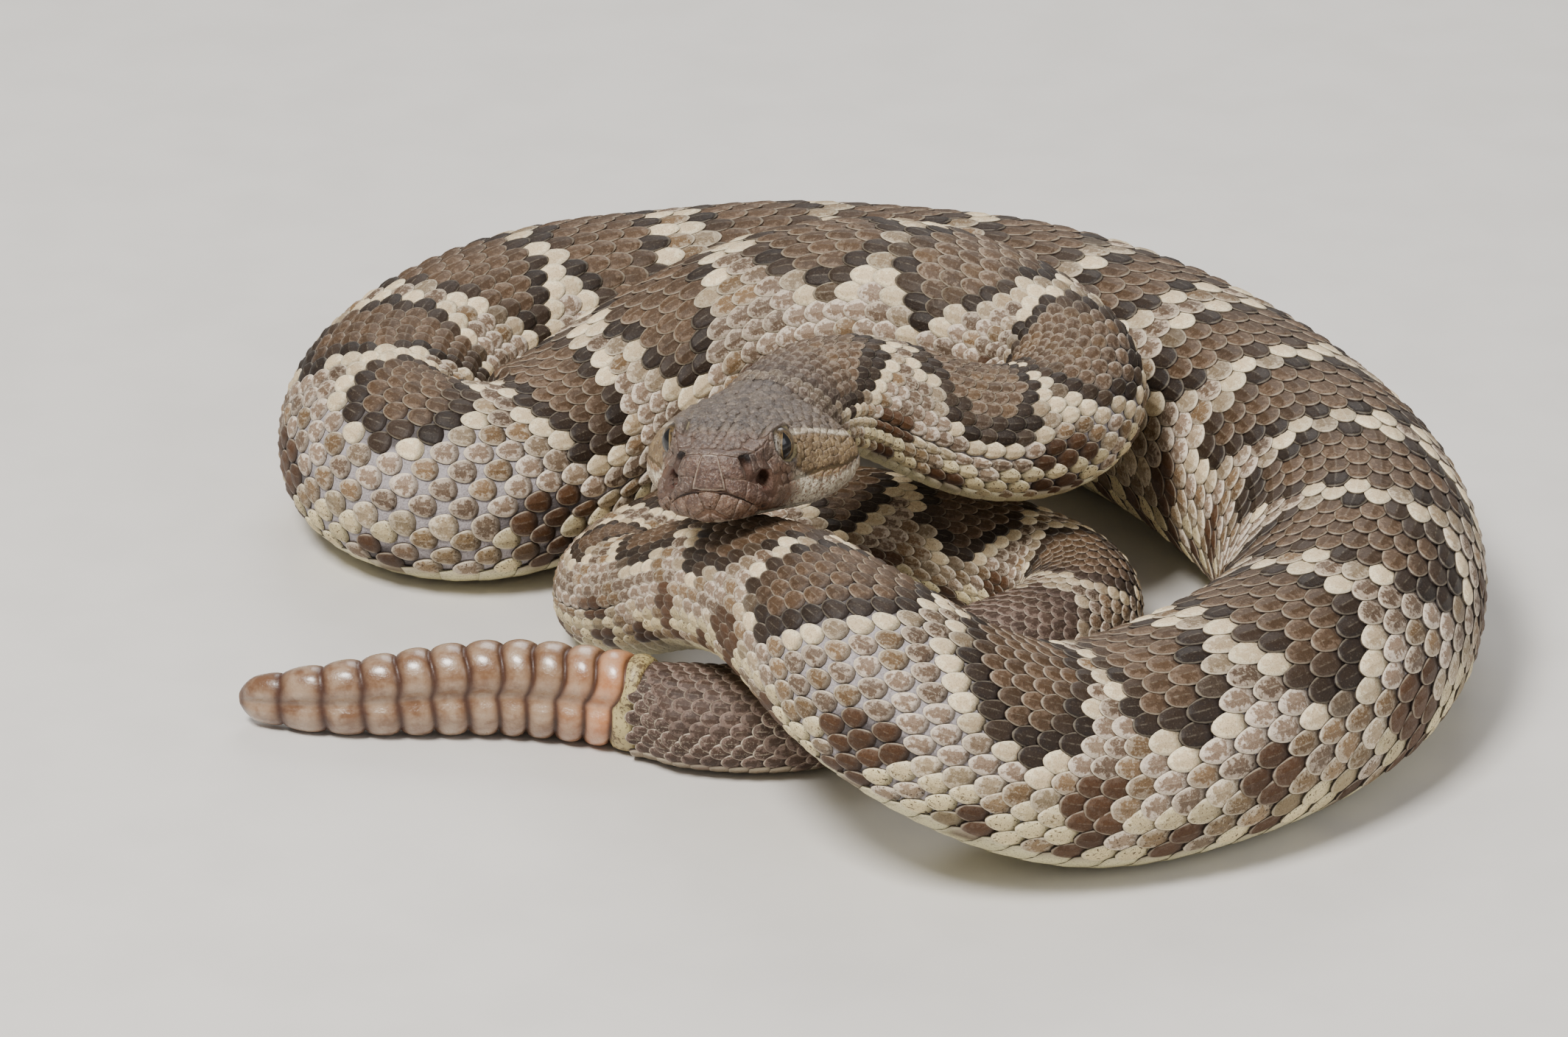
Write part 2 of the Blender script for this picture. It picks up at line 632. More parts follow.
@dataclass
class Markings:
    """The animal's pattern as a function of place; skin and scales both read it."""
    period: float = 23.5
    blotch_half_length: float = 9.6
    blotch_half_rows: float = 7.0
    flank_row: float = 9.0
    low_row: float = 12.0
    edge_rows: float = 12.5
    border_length: float = 2.3
    border_rows: float = 0.80
    flank_size: tuple = (4.2, 1.35)
    low_size: tuple = (2.6, 1.3)
    tail_start: float = 0.690
    tail_reach: float = 0.03
    rng: np.random.Generator = field(default_factory=lambda: np.random.default_rng(SEED))

    def __post_init__(self) -> None:
        """Draw each blotch's own size and slant."""
        count = 60
        self.size = 1 + 0.09 * self.rng.standard_normal(count)
        self.rows = 1 + 0.10 * self.rng.standard_normal(count)
        self.slant = 0.35 * self.rng.standard_normal(count)
        self.shift = 0.7 * self.rng.standard_normal(count)

    def tail_share(self, place: Array, reach: float = None) -> Array:
        """Share of the tail's look at arc lengths, eased in over a reach in metres."""
        return smooth_step((place - self.tail_start) / (reach or self.tail_reach))

    def shapes(self, place: Array, row: Array, jitter: Array) -> dict:
        """Shares of the pattern's parts.

        Args:
            place: Arc lengths in metres.
            row: Signed scale rows from the middle of the back.
            jitter: Small numbers, one for each sample, that roughen the edges.

        Returns:
            Shares from 0 to 1 of blotch, its edge, the pale border, flank and low spots.
        """
        along = place / MM
        which = np.clip(np.floor(along / self.period).astype(int), 0, len(self.size) - 1)
        beside = along - (which + 0.5) * self.period - self.shift[which] - self.slant[which] * row
        off = np.abs(row)
        long_size = self.blotch_half_length * self.size[which]
        row_size = self.blotch_half_rows * self.rows[which]
        inner = (np.abs(beside) / long_size) ** 1.7 + (off / row_size) ** 1.9 + jitter
        outer = ((np.abs(beside) / (long_size + self.border_length)) ** 1.7
                 + (off / (row_size + self.border_rows)) ** 1.9 + jitter)
        inside = fall(inner, 1.04, 0.08)
        edge = inside * ramp(inner, 0.50, 0.16)
        pale = (1 - inside) * fall(outer, 1.05, 0.1)

        def spots(spacing: float, middle_row: float, size: tuple, rough: float) -> Array:
            """Shares of a row of spots down the side."""
            gap = (along + 0.5 * spacing) % spacing - 0.5 * spacing
            return smooth_step((1.1 - ((gap / size[0]) ** 2 + ((off - middle_row) / size[1]) ** 2
                                       + rough * jitter)) / 0.2)
        flank = spots(self.period, self.flank_row, self.flank_size, 2.5)
        low = spots(0.5 * self.period, self.low_row, self.low_size, 1.5)
        return {"inside": inside, "edge": edge, "pale": pale, "flank": flank * (1 - inside), "low": low}

    def body(self, place: Array, row: Array, draws: Array) -> tuple:
        """Colours of body samples.

        Args:
            place: Arc lengths in metres.
            row: Signed scale rows from the middle of the back.
            draws: Three random numbers in 0..1 for each sample.

        Returns:
            Edge colours, centre colours, marks (rim, specks and keel streak shares) and
            the share of dark pattern.
        """
        part = self.shapes(place, row, 0.16 * (draws[:, 0] - 0.5))
        off = np.abs(row)
        side = ramp(off, 8.0, 3.0)
        nape = fall(place, 0.015, 0.010)
        dark = np.clip(part["inside"] + part["flank"] + part["low"], 0, 1)
        shares = (
            (Hue.LILAC, ramp(off, 3.0, 3.0) * (0.35 + 0.6 * (draws[:, 1] > 0.45))),
            (Hue.GOLD, 0.7 * (draws[:, 2] < 0.24)),
            (Hue.YELLOW, side * (0.10 + 0.90 * (draws[:, 2] > 0.42))),
            (Hue.CREAM, part["pale"] * (0.30 + 0.68 * (draws[:, 1] > 0.17))),
            (Hue.FLANK_SPOT, np.maximum(part["flank"], part["low"])),
            (Hue.BLOTCH, part["inside"] * (1 - 0.28 * fall(place, 0.12, 0.04))),
            (Hue.BLOTCH_EDGE, (0.80 + 0.18 * (draws[:, 2] > 0.3)) * part["edge"]),
            (Hue.NAPE, 0.92 * nape * fall(off, 11.0, 2.0)),
            (Hue.TAIL, self.tail_share(place)),
        )
        shade = (0.74 + 0.42 * draws[:, 1])[:, None]
        colours = []
        for side_of in ("edge", "core"):
            tint = filled(getattr(Hue.GROUND, side_of), len(place))
            for hue, share in shares:
                tint = blend(tint, getattr(hue, side_of), share)
            colours.append(tint * shade)
        rim = (0.66 - 0.36 * dark - 0.14 * part["edge"]) * (1 - 0.65 * nape)
        rim = rim * (1 - 0.2 * self.tail_share(place))
        specks = (1 - dark) * side
        marks = np.stack([rim, specks, 1 - 0.6 * dark], axis=1)
        return colours[0], colours[1], marks, dark

    @staticmethod
    def head(local: Array, draws: Array) -> Array:
        """Colours of head samples given in the head's own millimetres."""
        back, across, height = local.T
        out = np.abs(across)
        tint = filled(PALETTE.crown, len(local))
        tint = blend(tint, PALETTE.crown_tan, 0.4 * (draws[:, 0] > 0.62))
        middle = fall(out, 9.5, 4.0) * ramp(back, 7, 5)
        tint = blend(tint, PALETTE.crown_dark, middle * (0.45 + 0.30 * (draws[:, 0] < 0.5)))
        snout = fall(back, 10.0, 4.0) * fall(height, 5.2, 1.6)
        tint = blend(tint, PALETTE.snout, snout)
        worn = ramp(height, 1.0, 2.2) * (0.35 + 0.5 * draws[:, 0])
        right_side = smooth_step((-across - 1.5) / 2.5) * 0.4
        tint = blend(tint, PALETTE.snout_gray, snout * np.maximum(worn, right_side))
        top_line = np.interp(back, (9.0, 13.5, 20.0, 30.0, 36.0), (1.6, 2.7, 1.6, -1.3, -3.0))
        low_line = np.interp(back, (9.0, 11.5, 16.5, 22.0, 29.0, 36.0), (0.0, -1.2, -4.5, -4.3, -3.6, -4.2))
        behind = ramp(back, 12.2, 0.6) * fall(back, 33, 2)
        in_stripe = smooth_step((top_line - height) / 0.3) * smooth_step((height - low_line) / 0.3)
        pale_line = smooth_step((height - top_line + 0.1) / 0.2) * smooth_step(
            (top_line + 0.75 - height) / 0.25)
        flank = ramp(out, 6.0, 1.0)
        tint = blend(tint, PALETTE.labial, 0.80 * pale_line * behind * flank)
        tint = blend(tint, PALETTE.stripe, in_stripe * behind * flank)
        mouth = mouth_height(back)
        lip = smooth_step((low_line - height) / 0.3) * smooth_step((height - mouth + 0.2) / 0.2)
        lip_front = ramp(back, 10.5, 3.5)
        lip_tint = blend(filled(PALETTE.labial_front, len(local)), PALETTE.labial, lip_front)
        tint = blend(tint, lip_tint, lip * ramp(back, 4.0, 2.5))
        below = smooth_step((mouth - height) / 0.25)
        chin = blend(filled(PALETTE.chin, len(local)), PALETTE.throat,
                     ramp(back, 5.0, 5.0) + 0.8 * fall(height, -6.9, 0.5)
                     * (draws[:, 0] > 0.55))
        tint = blend(tint, chin, below)
        shade = 0.80 + 0.40 * draws[:, 1]
        for opening in OPENINGS:
            gap = np.linalg.norm(local - opening.middle(across), axis=1)
            shade = shade * (1 - opening.shade * bell(gap, opening.shade_reach))
        return tint * shade[:, None]

    @staticmethod
    def head_skin(local: Array) -> Array:
        """Colours of the skin under the head's plates, dark in grooves and openings."""
        middle = np.full((len(local), 2), 0.5)
        back, across, height = local.T
        face = 0.50 + 0.42 * fall(back, 11.0, 4.0)
        tint = Markings.head(local, middle) * face[:, None]
        for opening in OPENINGS:
            gap = np.linalg.norm(local - opening.middle(across), axis=1)
            tint = blend(tint, opening.floor, smooth_step((opening.floor_radius - gap) / 0.35))
        eye, beside = eye_zone(back, np.abs(across), height)
        lid = bell(eye - EYE_OPENING - 0.25, 0.28) * beside
        tint = blend(tint, PALETTE.lid, 0.85 * lid)
        tint = blend(tint, PALETTE.socket, beside * smooth_step((EYE_OPENING - eye) / 0.2))
        mouth = mouth_height(back)
        line = bell(height - mouth, 0.20) * smooth_step((MOUTH_END + 1 - back) / 1.5)
        return blend(tint, PALETTE.socket, 0.92 * line)


def mesh_from(name: str, points: Array, loops: Array, totals: Array) -> Mesh:
    """Make a smooth-shaded mesh from arrays.

    Args:
        name: Name of the mesh.
        points: Vertex places.
        loops: Vertex numbers of all faces, one face after the other.
        totals: Corner count of each face.

    Returns:
        The new mesh.
    """
    mesh = bpy.data.meshes.new(name)
    mesh.vertices.add(len(points))
    mesh.vertices.foreach_set("co", np.ascontiguousarray(points, np.float32).ravel())
    mesh.loops.add(len(loops))
    mesh.loops.foreach_set("vertex_index", loops.astype(np.int32))
    mesh.polygons.add(len(totals))
    starts = np.concatenate([[0], np.cumsum(totals)[:-1]]).astype(np.int32)
    mesh.polygons.foreach_set("loop_start", starts)
    mesh.polygons.foreach_set("loop_total", totals.astype(np.int32))
    mesh.polygons.foreach_set("use_smooth", np.ones(len(totals), bool))
    mesh.update(calc_edges=True)
    mesh.validate()
    return mesh


def paint(mesh: Mesh, name: str, rows: Array) -> None:
    """Store a colour for each vertex under an attribute name."""
    layer = mesh.attributes.new(name, "FLOAT_COLOR", "POINT")
    full = np.ones((len(rows), 4), np.float32)
    full[:, :3] = rows
    layer.data.foreach_set("color", full.ravel())


def map_uv(mesh: Mesh, name: str, rows: Array) -> None:
    """Store a UV map given one pair for each vertex."""
    layer = mesh.uv_layers.new(name=name)
    index = np.empty(len(mesh.loops), np.int32)
    mesh.loops.foreach_get("vertex_index", index)
    layer.data.foreach_set("uv", np.ascontiguousarray(rows[index], np.float32).ravel())


def put_in_scene(name: str, data: object) -> Object:
    """Make an object and link it to the scene."""
    item = bpy.data.objects.new(name, data)
    bpy.context.scene.collection.objects.link(item)
    return item


def add_piece(mesh: Mesh, material: Material, nodes: tuple = ()) -> Object:
    """Put a finished mesh in the scene as a piece of the model.

    Args:
        mesh: The piece's mesh, in place.
        material: Its finish.
        nodes: The frame's nodes that it stands for.

    Returns:
        The new object.
    """
    mesh.materials.append(material)
    item = put_in_scene(mesh.name, mesh)
    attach(item, BODY)
    if nodes:
        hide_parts(*nodes)
    LOG.info("%s: %d faces", item.name, len(mesh.polygons))
    return item


def operator(operation: str, turned: bool = False) -> Callable:
    """A method that adds a Math node on a value and others, turned round for a right operand."""
    def apply(self: "Value", *others: object) -> "Value":
        """Add the node."""
        return self.maths(operation, *((*others, self) if turned else (self, *others)))
    return apply


class Value:
    """A shader socket that takes part in Python expressions."""

    def __init__(self, shader: "Shader", socket: NodeSocket) -> None:
        """Keep the shader and its socket."""
        self.shader = shader
        self.socket = socket

    def maths(self, operation: str, *values: object) -> "Value":
        """Add one Math node on the given values."""
        return self.shader.node("ShaderNodeMath", {"operation": operation}, dict(enumerate(values)))

    __add__ = __radd__ = operator("ADD")
    __mul__ = __rmul__ = operator("MULTIPLY")
    __sub__ = operator("SUBTRACT")
    __rsub__ = operator("SUBTRACT", turned=True)
    __truediv__ = operator("DIVIDE")
    __pow__ = operator("POWER")
    __abs__ = operator("ABSOLUTE")
    larger = operator("MAXIMUM")

    def eased(self, low: float, high: float) -> "Value":
        """Ease from 0 at low to 1 at high."""
        return self.shader.node("ShaderNodeMapRange", {"interpolation_type": "SMOOTHSTEP"},
                                {"Value": self, "From Min": low, "From Max": high})


class Shader:
    """Builds one Principled material from expressions."""

    def __init__(self, name: str) -> None:
        """Start a material with its Principled shader."""
        self.material = bpy.data.materials.new(name)
        self.material.use_nodes = True
        self.tree = self.material.node_tree
        self.principled = self.tree.nodes["Principled BSDF"]

    def node(self, kind: str, settings: dict = None, sockets: dict = None, output: object = 0) -> Value:
        """Add a node.

        Args:
            kind: The node's type.
            settings: Properties that are set before its sockets.
            sockets: Values or links by socket name or number.
            output: Name or number of the socket that is handed back, or a tuple of them.

        Returns:
            The output as a value, or a tuple of values.
        """
        made = self.tree.nodes.new(kind)
        for key, setting in (settings or {}).items():
            setattr(made, key, setting)
        for key, value in (sockets or {}).items():
            self.feed(made.inputs[key], value)
        if isinstance(output, tuple):
            return tuple(Value(self, made.outputs[key]) for key in output)
        return Value(self, made.outputs[output])

    def feed(self, socket: NodeSocket, value: object) -> None:
        """Link a value to a socket, or set a number or colour on it."""
        if isinstance(value, Value):
            self.tree.links.new(value.socket, socket)
        elif isinstance(value, tuple) and len(value) == 3 and socket.type == "RGBA":
            socket.default_value = (*value, 1.0)
        else:
            socket.default_value = value

    def mix(self, share: object, first: object, second: object, mode: str = "MIX") -> Value:
        """Mix two colours by a share."""
        return self.node("ShaderNodeMix", {"data_type": "RGBA", "blend_type": mode,
                                           "clamp_factor": True},
                         {0: share, 6: first, 7: second}, output=2)

    def layered(self, colour: object, *coats: tuple) -> Value:
        """Lay tints over a colour, each coat a share and a tint."""
        for share, tint in coats:
            colour = self.mix(share, colour, tint)
        return colour

    def noise(self, scale: float, detail: float = 3.0, roughness: float = 0.55) -> Value:
        """Noise over the piece, with features about 1 / scale metres across."""
        place = self.node("ShaderNodeTexCoord", output="Object")
        return self.node("ShaderNodeTexNoise", {}, {"Vector": place, "Scale": scale,
                                                    "Detail": detail, "Roughness": roughness})

    def creases(self, scale: float) -> Value:
        """Thin wandering lines, 1 on the line, about 1 / scale metres apart."""
        waves = self.noise(scale, 4.0, 0.55)
        return 1.0 - abs(waves - 0.5).eased(0.0, 0.05)

    def cells(self, scale: float) -> Value:
        """Distances to scattered points, about 1 / scale metres apart."""
        place = self.node("ShaderNodeTexCoord", output="Object")
        return self.node("ShaderNodeTexVoronoi", {}, {"Vector": place, "Scale": scale})

    def attribute(self, name: str) -> Value:
        """A colour attribute of the piece."""
        return self.node("ShaderNodeAttribute", {"attribute_name": name}, output="Color")

    def split(self, colour: Value) -> tuple:
        """The three channels of a colour."""
        return self.node("ShaderNodeSeparateColor", {}, {0: colour}, output=(0, 1, 2))

    def uv(self, name: str) -> tuple:
        """The two numbers of a UV map, each turned to run from -1 to 1."""
        place = self.node("ShaderNodeUVMap", {"uv_map": name})
        pair = self.node("ShaderNodeSeparateXYZ", {}, {0: place}, output=(0, 1))
        return tuple(value * 2.0 - 1.0 for value in pair)

    def finish(self, colour: Value, roughness: object, height: Value, depth: float,
               **constants: object) -> Material:
        """Feed the Principled shader.

        Args:
            colour: Base colour.
            roughness: Roughness, a number or a value.
            height: Relief for the bump, from 0 to 1.
            depth: Depth of the relief in metres.
            **constants: Numbers or colours for other sockets, spaces as underscores.

        Returns:
            The finished material.
        """
        self.feed(self.principled.inputs["Base Color"], colour)
        self.feed(self.principled.inputs["Roughness"], roughness)
        bump = self.node("ShaderNodeBump", {}, {"Strength": 1.0, "Distance": depth, "Height": height})
        self.feed(self.principled.inputs["Normal"], bump)
        for key, value in constants.items():
            self.feed(self.principled.inputs[key.replace("_", " ")], value)
        return self.material


@dataclass(frozen=True)
class ScaleFinish:
    """The horny scales: a mottled centre, a pale rim and keel streak, dark at the root."""
    name: str
    roughness: float = 0.47
    mottle_scale: float = 1250.0
    grain_scale: float = 4600.0
    rim: tuple = (0.80, 0.71, 0.54)
    speck: tuple = (0.060, 0.032, 0.018)
    groove: tuple = (0.028, 0.020, 0.017)

    def build(self) -> Material:
        """Make the material."""
        shader = Shader(self.name)
        edge_tint = shader.attribute("Tint")
        core_tint = shader.attribute("Core")
        rim_share, speck_share, streak_share = shader.split(shader.attribute("Marks"))
        along, across = shader.uv("Lay")
        edge = abs(along).larger(abs(across))
        mottle = shader.noise(self.mottle_scale, 4.0, 0.62)
        grain = shader.noise(self.grain_scale, 3.0, 0.60)
        ragged = edge + (mottle - 0.5) * 2.4
        colour = shader.mix(ragged.eased(0.42, 0.78), core_tint, edge_tint)
        dark = shader.mix(0.60, colour, (0.20, 0.15, 0.12), "MULTIPLY")
        flecks = shader.noise(3100.0, 3.0, 0.6).eased(0.58, 0.66)
        specks = shader.noise(2300.0, 2.0, 0.5).eased(0.60, 0.65) * speck_share
        streak = (0.10 - abs(across)).eased(0.0, 0.09) * (0.85 - abs(along)).eased(0.0, 0.6)
        free = along.eased(-0.75, -0.10)
        rim = edge.eased(0.80, 0.93) * (1.0 - edge.eased(0.97, 1.0)) * rim_share * free
        colour = shader.layered(
            colour,
            (grain.eased(0.48, 0.66) * 0.70, dark),
            (flecks * streak_share ** 2.0 * 0.24, self.rim),
            (specks * 0.88, self.speck),
            (streak * streak_share * mottle.eased(0.40, 0.60) * 0.22, self.rim),
            (rim * 0.90, self.rim),
            (along.eased(-0.30, -0.90) * 0.62, self.groove),
            (edge.eased(0.985, 1.02) * 0.90, self.groove))
        roughness = self.roughness + mottle * 0.12
        relief = grain * 0.50 + mottle * 0.50
        return shader.finish(colour, roughness, relief, 0.00012, Specular_IOR_Level=0.25)


@dataclass(frozen=True)
class SkinFinish:
    """The bare skin between the scales: soft, finely wrinkled."""
    name: str = "bare_skin"
    roughness: float = 0.58

    def build(self) -> Material:
        """Make the material."""
        shader = Shader(self.name)
        tint = shader.attribute("Tint")
        grain = shader.noise(3800.0, 4.0, 0.65)
        folds = shader.cells(2600.0)
        creases = shader.creases(620.0)
        shade = shader.mix(0.7, tint, (0.30, 0.24, 0.20), "MULTIPLY")
        colour = shader.layered(tint, (grain.eased(0.45, 0.68) * 0.7, shade), (creases * 0.15, shade))
        relief = grain * 0.5 + folds * 0.3 - creases * 0.2
        return shader.finish(colour, self.roughness, relief, 0.00020, Specular_IOR_Level=0.38)


@dataclass(frozen=True)
class PlateFinish:
    """Head plates and small head scales: granular and finely wrinkled, with worn edges."""
    name: str
    rim: tuple = (0.50, 0.40, 0.31)
    speck: tuple = (0.20, 0.085, 0.035)
    groove: tuple = (0.060, 0.037, 0.027)

    def build(self) -> Material:
        """Make the material."""
        shader = Shader(self.name)
        tint = shader.attribute("Tint")
        rim_share, speck_share, _ = shader.split(shader.attribute("Marks"))
        along, across = shader.uv("Lay")
        edge = abs(along).larger(abs(across))
        mottle = shader.noise(1300.0, 5.0, 0.68)
        grain = shader.noise(4200.0, 3.0, 0.6)
        wrinkles = shader.cells(1700.0)
        creases = shader.creases(620.0)
        dark = shader.mix(0.75, tint, (0.30, 0.22, 0.18), "MULTIPLY")
        light = shader.mix(0.36, tint, self.rim)
        flecks = shader.noise(3000.0, 3.0, 0.6).eased(0.57, 0.65)
        patches = shader.noise(430.0, 3.0, 0.6).eased(0.50, 0.60)
        specks = shader.noise(2600.0, 2.0, 0.5).eased(0.55, 0.61) * speck_share
        rim = edge.eased(0.84, 0.95) * (1.0 - edge.eased(0.975, 1.0)) * rim_share
        colour = shader.layered(
            tint,
            (mottle.eased(0.49, 0.62), dark),
            (mottle.eased(0.47, 0.36) * 0.6, light),
            (grain.eased(0.50, 0.68) * 0.60, dark),
            (patches * 0.62, dark),
            (flecks * 0.28, self.rim),
            (creases * 0.10, dark),
            (specks * 0.75, self.speck),
            (rim * 0.75, self.rim),
            (edge.eased(0.99, 1.05) * 0.55, self.groove))
        relief = grain * 0.35 + mottle * 0.55 + wrinkles * 0.30 - creases * 0.10
        return shader.finish(colour, 0.14 + mottle * 0.32, relief, 0.00036, Specular_IOR_Level=0.72)


@dataclass(frozen=True)
class EyeFinish:
    """The eye: a vertical slit pupil, an iris silvery in front and golden behind, a wet coat."""
    name: str = "eye"
    iris: tuple = (0.115, 0.075, 0.032)
    iris_dark: tuple = (0.030, 0.019, 0.010)
    silver: tuple = (0.300, 0.290, 0.270)
    slit_rim: tuple = (0.30, 0.22, 0.11)
    pupil: tuple = (0.004, 0.004, 0.005)
    slit_half_width: float = 0.32
    slit_half_height: float = 0.80

    def build(self) -> Material:
        """Make the material."""
        shader = Shader(self.name)
        along, up = shader.uv("Lens")
        slit = (1.0 - (up / self.slit_half_height) ** 2.0).larger(0.0)
        pupil = (slit * self.slit_half_width - abs(along)).eased(-0.015, 0.015)
        ring = (slit * (self.slit_half_width + 0.07) - abs(along)).eased(-0.02, 0.02)
        veins = shader.noise(2600.0, 5.0, 0.7)
        radius = (along * along + up * up) ** 0.5
        colour = shader.layered(
            self.iris,
            (veins.eased(0.46, 0.62), self.iris_dark),
            (along.eased(0.22, 0.62) * veins.eased(0.62, 0.44) * 0.75, self.silver),
            (ring * 0.55, self.slit_rim),
            (radius.eased(0.74, 0.95), self.iris_dark),
            (pupil, self.pupil))
        return shader.finish(colour, 0.30, veins, 0.00003, Coat_Weight=0.6,
                             Coat_Roughness=0.03, Specular_IOR_Level=0.25)


@dataclass(frozen=True)
class RattleFinish:
    """Dry glossy horn, orange in the newest ring, with darker grooves."""
    name: str = "rattle_horn"
    worn: tuple = (0.54, 0.42, 0.30)
    speck: tuple = (0.085, 0.050, 0.022)

    def build(self) -> Material:
        """Make the material."""
        shader = Shader(self.name)
        tint = shader.attribute("Tint")
        flesh, crest, _ = shader.split(shader.attribute("Marks"))
        cloud = shader.noise(300.0, 4.0, 0.6)
        grain = shader.noise(2000.0, 4.0, 0.65)
        dark = shader.mix(0.80, tint, (0.34, 0.16, 0.07), "MULTIPLY")
        glow = crest ** 1.6 * cloud.eased(0.66, 0.34)
        specks = (grain + cloud * 0.5).eased(0.76, 0.83) * flesh
        colour = shader.layered(
            tint,
            (cloud.eased(0.42, 0.66) * 0.34, dark),
            (grain.eased(0.56, 0.70) * 0.35, dark),
            (glow * 0.46, self.worn),
            (specks * 0.85, self.speck))
        relief = grain * 0.3 + cloud * 0.7
        return shader.finish(colour, 0.42 - crest * 0.20 + cloud * 0.12, relief, 0.00030,
                             Specular_IOR_Level=0.55, Coat_Weight=0.08 + crest * 0.92,
                             Coat_Roughness=0.21)


@dataclass(frozen=True)
class PlateArrays:
    """Arrays of a group of plates, ready to be joined into a mesh."""
    points: Array
    loops: Array
    totals: Array
    tint: Array
    core: Array
    marks: Array
    lay: Array
    bake: Array


def joined(name: str, parts: list) -> Mesh:
    """Join the arrays of several plate groups into one painted mesh."""
    starts = np.cumsum([0] + [len(p.points) for p in parts[:-1]])
    loops = np.concatenate([p.loops + start for p, start in zip(parts, starts)])

    def every(key: str) -> Array:
        """One array of all groups, one after the other."""
        return np.concatenate([getattr(p, key) for p in parts])
    mesh = mesh_from(name, every("points"), loops, every("totals"))
    for layer in ("Tint", "Core", "Marks"):
        paint(mesh, layer, every(layer.lower()))
    map_uv(mesh, "Lay", every("lay"))
    map_uv(mesh, "OFBake", every("bake"))
    return mesh


class Template:
    """A closed plate on a square grid: top faces, a skirt, and one face underneath."""

    def __init__(self, along: Array, across: Array) -> None:
        """Build the grid.

        Args:
            along: Grid places from the root, -1, to the free end, 1.
            across: Grid places from side to side, -1 to 1.
        """
        rows, columns = len(along), len(across)
        self.along, self.across = (g.ravel() for g in np.meshgrid(along, across, indexing="ij"))
        number = numbered(rows, columns)
        quads = np.stack([number[:-1, :-1], number[1:, :-1], number[1:, 1:],
                          number[:-1, 1:]], axis=-1).reshape(-1, 4)
        rim = np.concatenate([number[0, :], number[1:, -1], number[-1, -2::-1], number[-2:0:-1, 0]])
        self.rim = rim
        self.top_count = rows * columns
        self.count = self.top_count + len(rim)
        under = self.top_count + np.arange(len(rim))
        following = np.roll(np.arange(len(rim)), -1)
        skirt = np.stack([rim, rim[following], under[following], under], axis=-1)
        self.loops = np.concatenate([quads.ravel(), skirt.ravel(), under])
        self.totals = np.concatenate([np.full(len(quads) + len(skirt), 4), [len(rim)]])
        self.flipped = np.concatenate([quads[:, ::-1].ravel(), skirt[:, ::-1].ravel(), under[::-1]])

    def rounded(self, squareness: float) -> tuple:
        """The grid squeezed into a disc, but for a share that stays square."""
        x = self.along * np.sqrt(1 - 0.5 * self.across ** 2)
        y = self.across * np.sqrt(1 - 0.5 * self.along ** 2)
        return x + (self.along - x) * squareness, y + (self.across - y) * squareness

    def hump(self, power: float) -> Array:
        """A crown that is 1 in the middle and 0 at the edges."""
        return 1 - np.maximum(np.abs(self.along), np.abs(self.across)) ** power

    @property
    def lay(self) -> Array:
        """Each point's place on the plate as a map, 0 to 1; the underside lies outside it."""
        flat = np.stack([self.along, self.across], axis=-1)
        full = np.concatenate([flat, flat[self.rim] * 1.12])
        return full * 0.5 + 0.5

    def with_rim(self, top: Array) -> Array:
        """Extend values on the top grid by those of the rim, for the underside."""
        return np.concatenate([top, top[..., self.rim]], axis=-1)

    def group(self, points: Array, paints: tuple, roots: Array, flipped: bool = False) -> PlateArrays:
        """Arrays of copies of this plate.

        Args:
            points: Places of each copy's points.
            paints: Tint, core and marks, with a row for each copy or for each point.
            roots: Each copy's place on the map for baking.
            flipped: Whether the faces are turned round.

        Returns:
            The group, ready to be joined.
        """
        copies = len(points)
        loops = self.flipped if flipped else self.loops
        shift = np.arange(copies)[:, None] * self.count
        full = [np.repeat(rows, self.count, axis=0) if len(rows) == copies else rows for rows in paints]
        bake = roots[:, None, :] + (self.lay[None] - 0.5) * BAKE_SPREAD
        return PlateArrays(points.reshape(-1, 3), (loops[None, :] + shift).ravel(),
                           np.tile(self.totals, copies), *full,
                           np.tile(self.lay, (copies, 1)), bake.reshape(-1, 2))


FINE_SCALE = Template(np.linspace(-1, 1, 6), np.array([-1, -0.6, -0.16, 0, 0.16, 0.6, 1.0]))
HEAD_SCALE = Template(np.linspace(-1, 1, 5), np.array([-1, -0.55, 0.0, 0.55, 1.0]))
BELLY_SCUTE = Template(np.linspace(-1, 1, 5), np.linspace(-1, 1, 11))
SMOOTH_PLATE = Template(np.linspace(-1, 1, 8), np.linspace(-1, 1, 8))


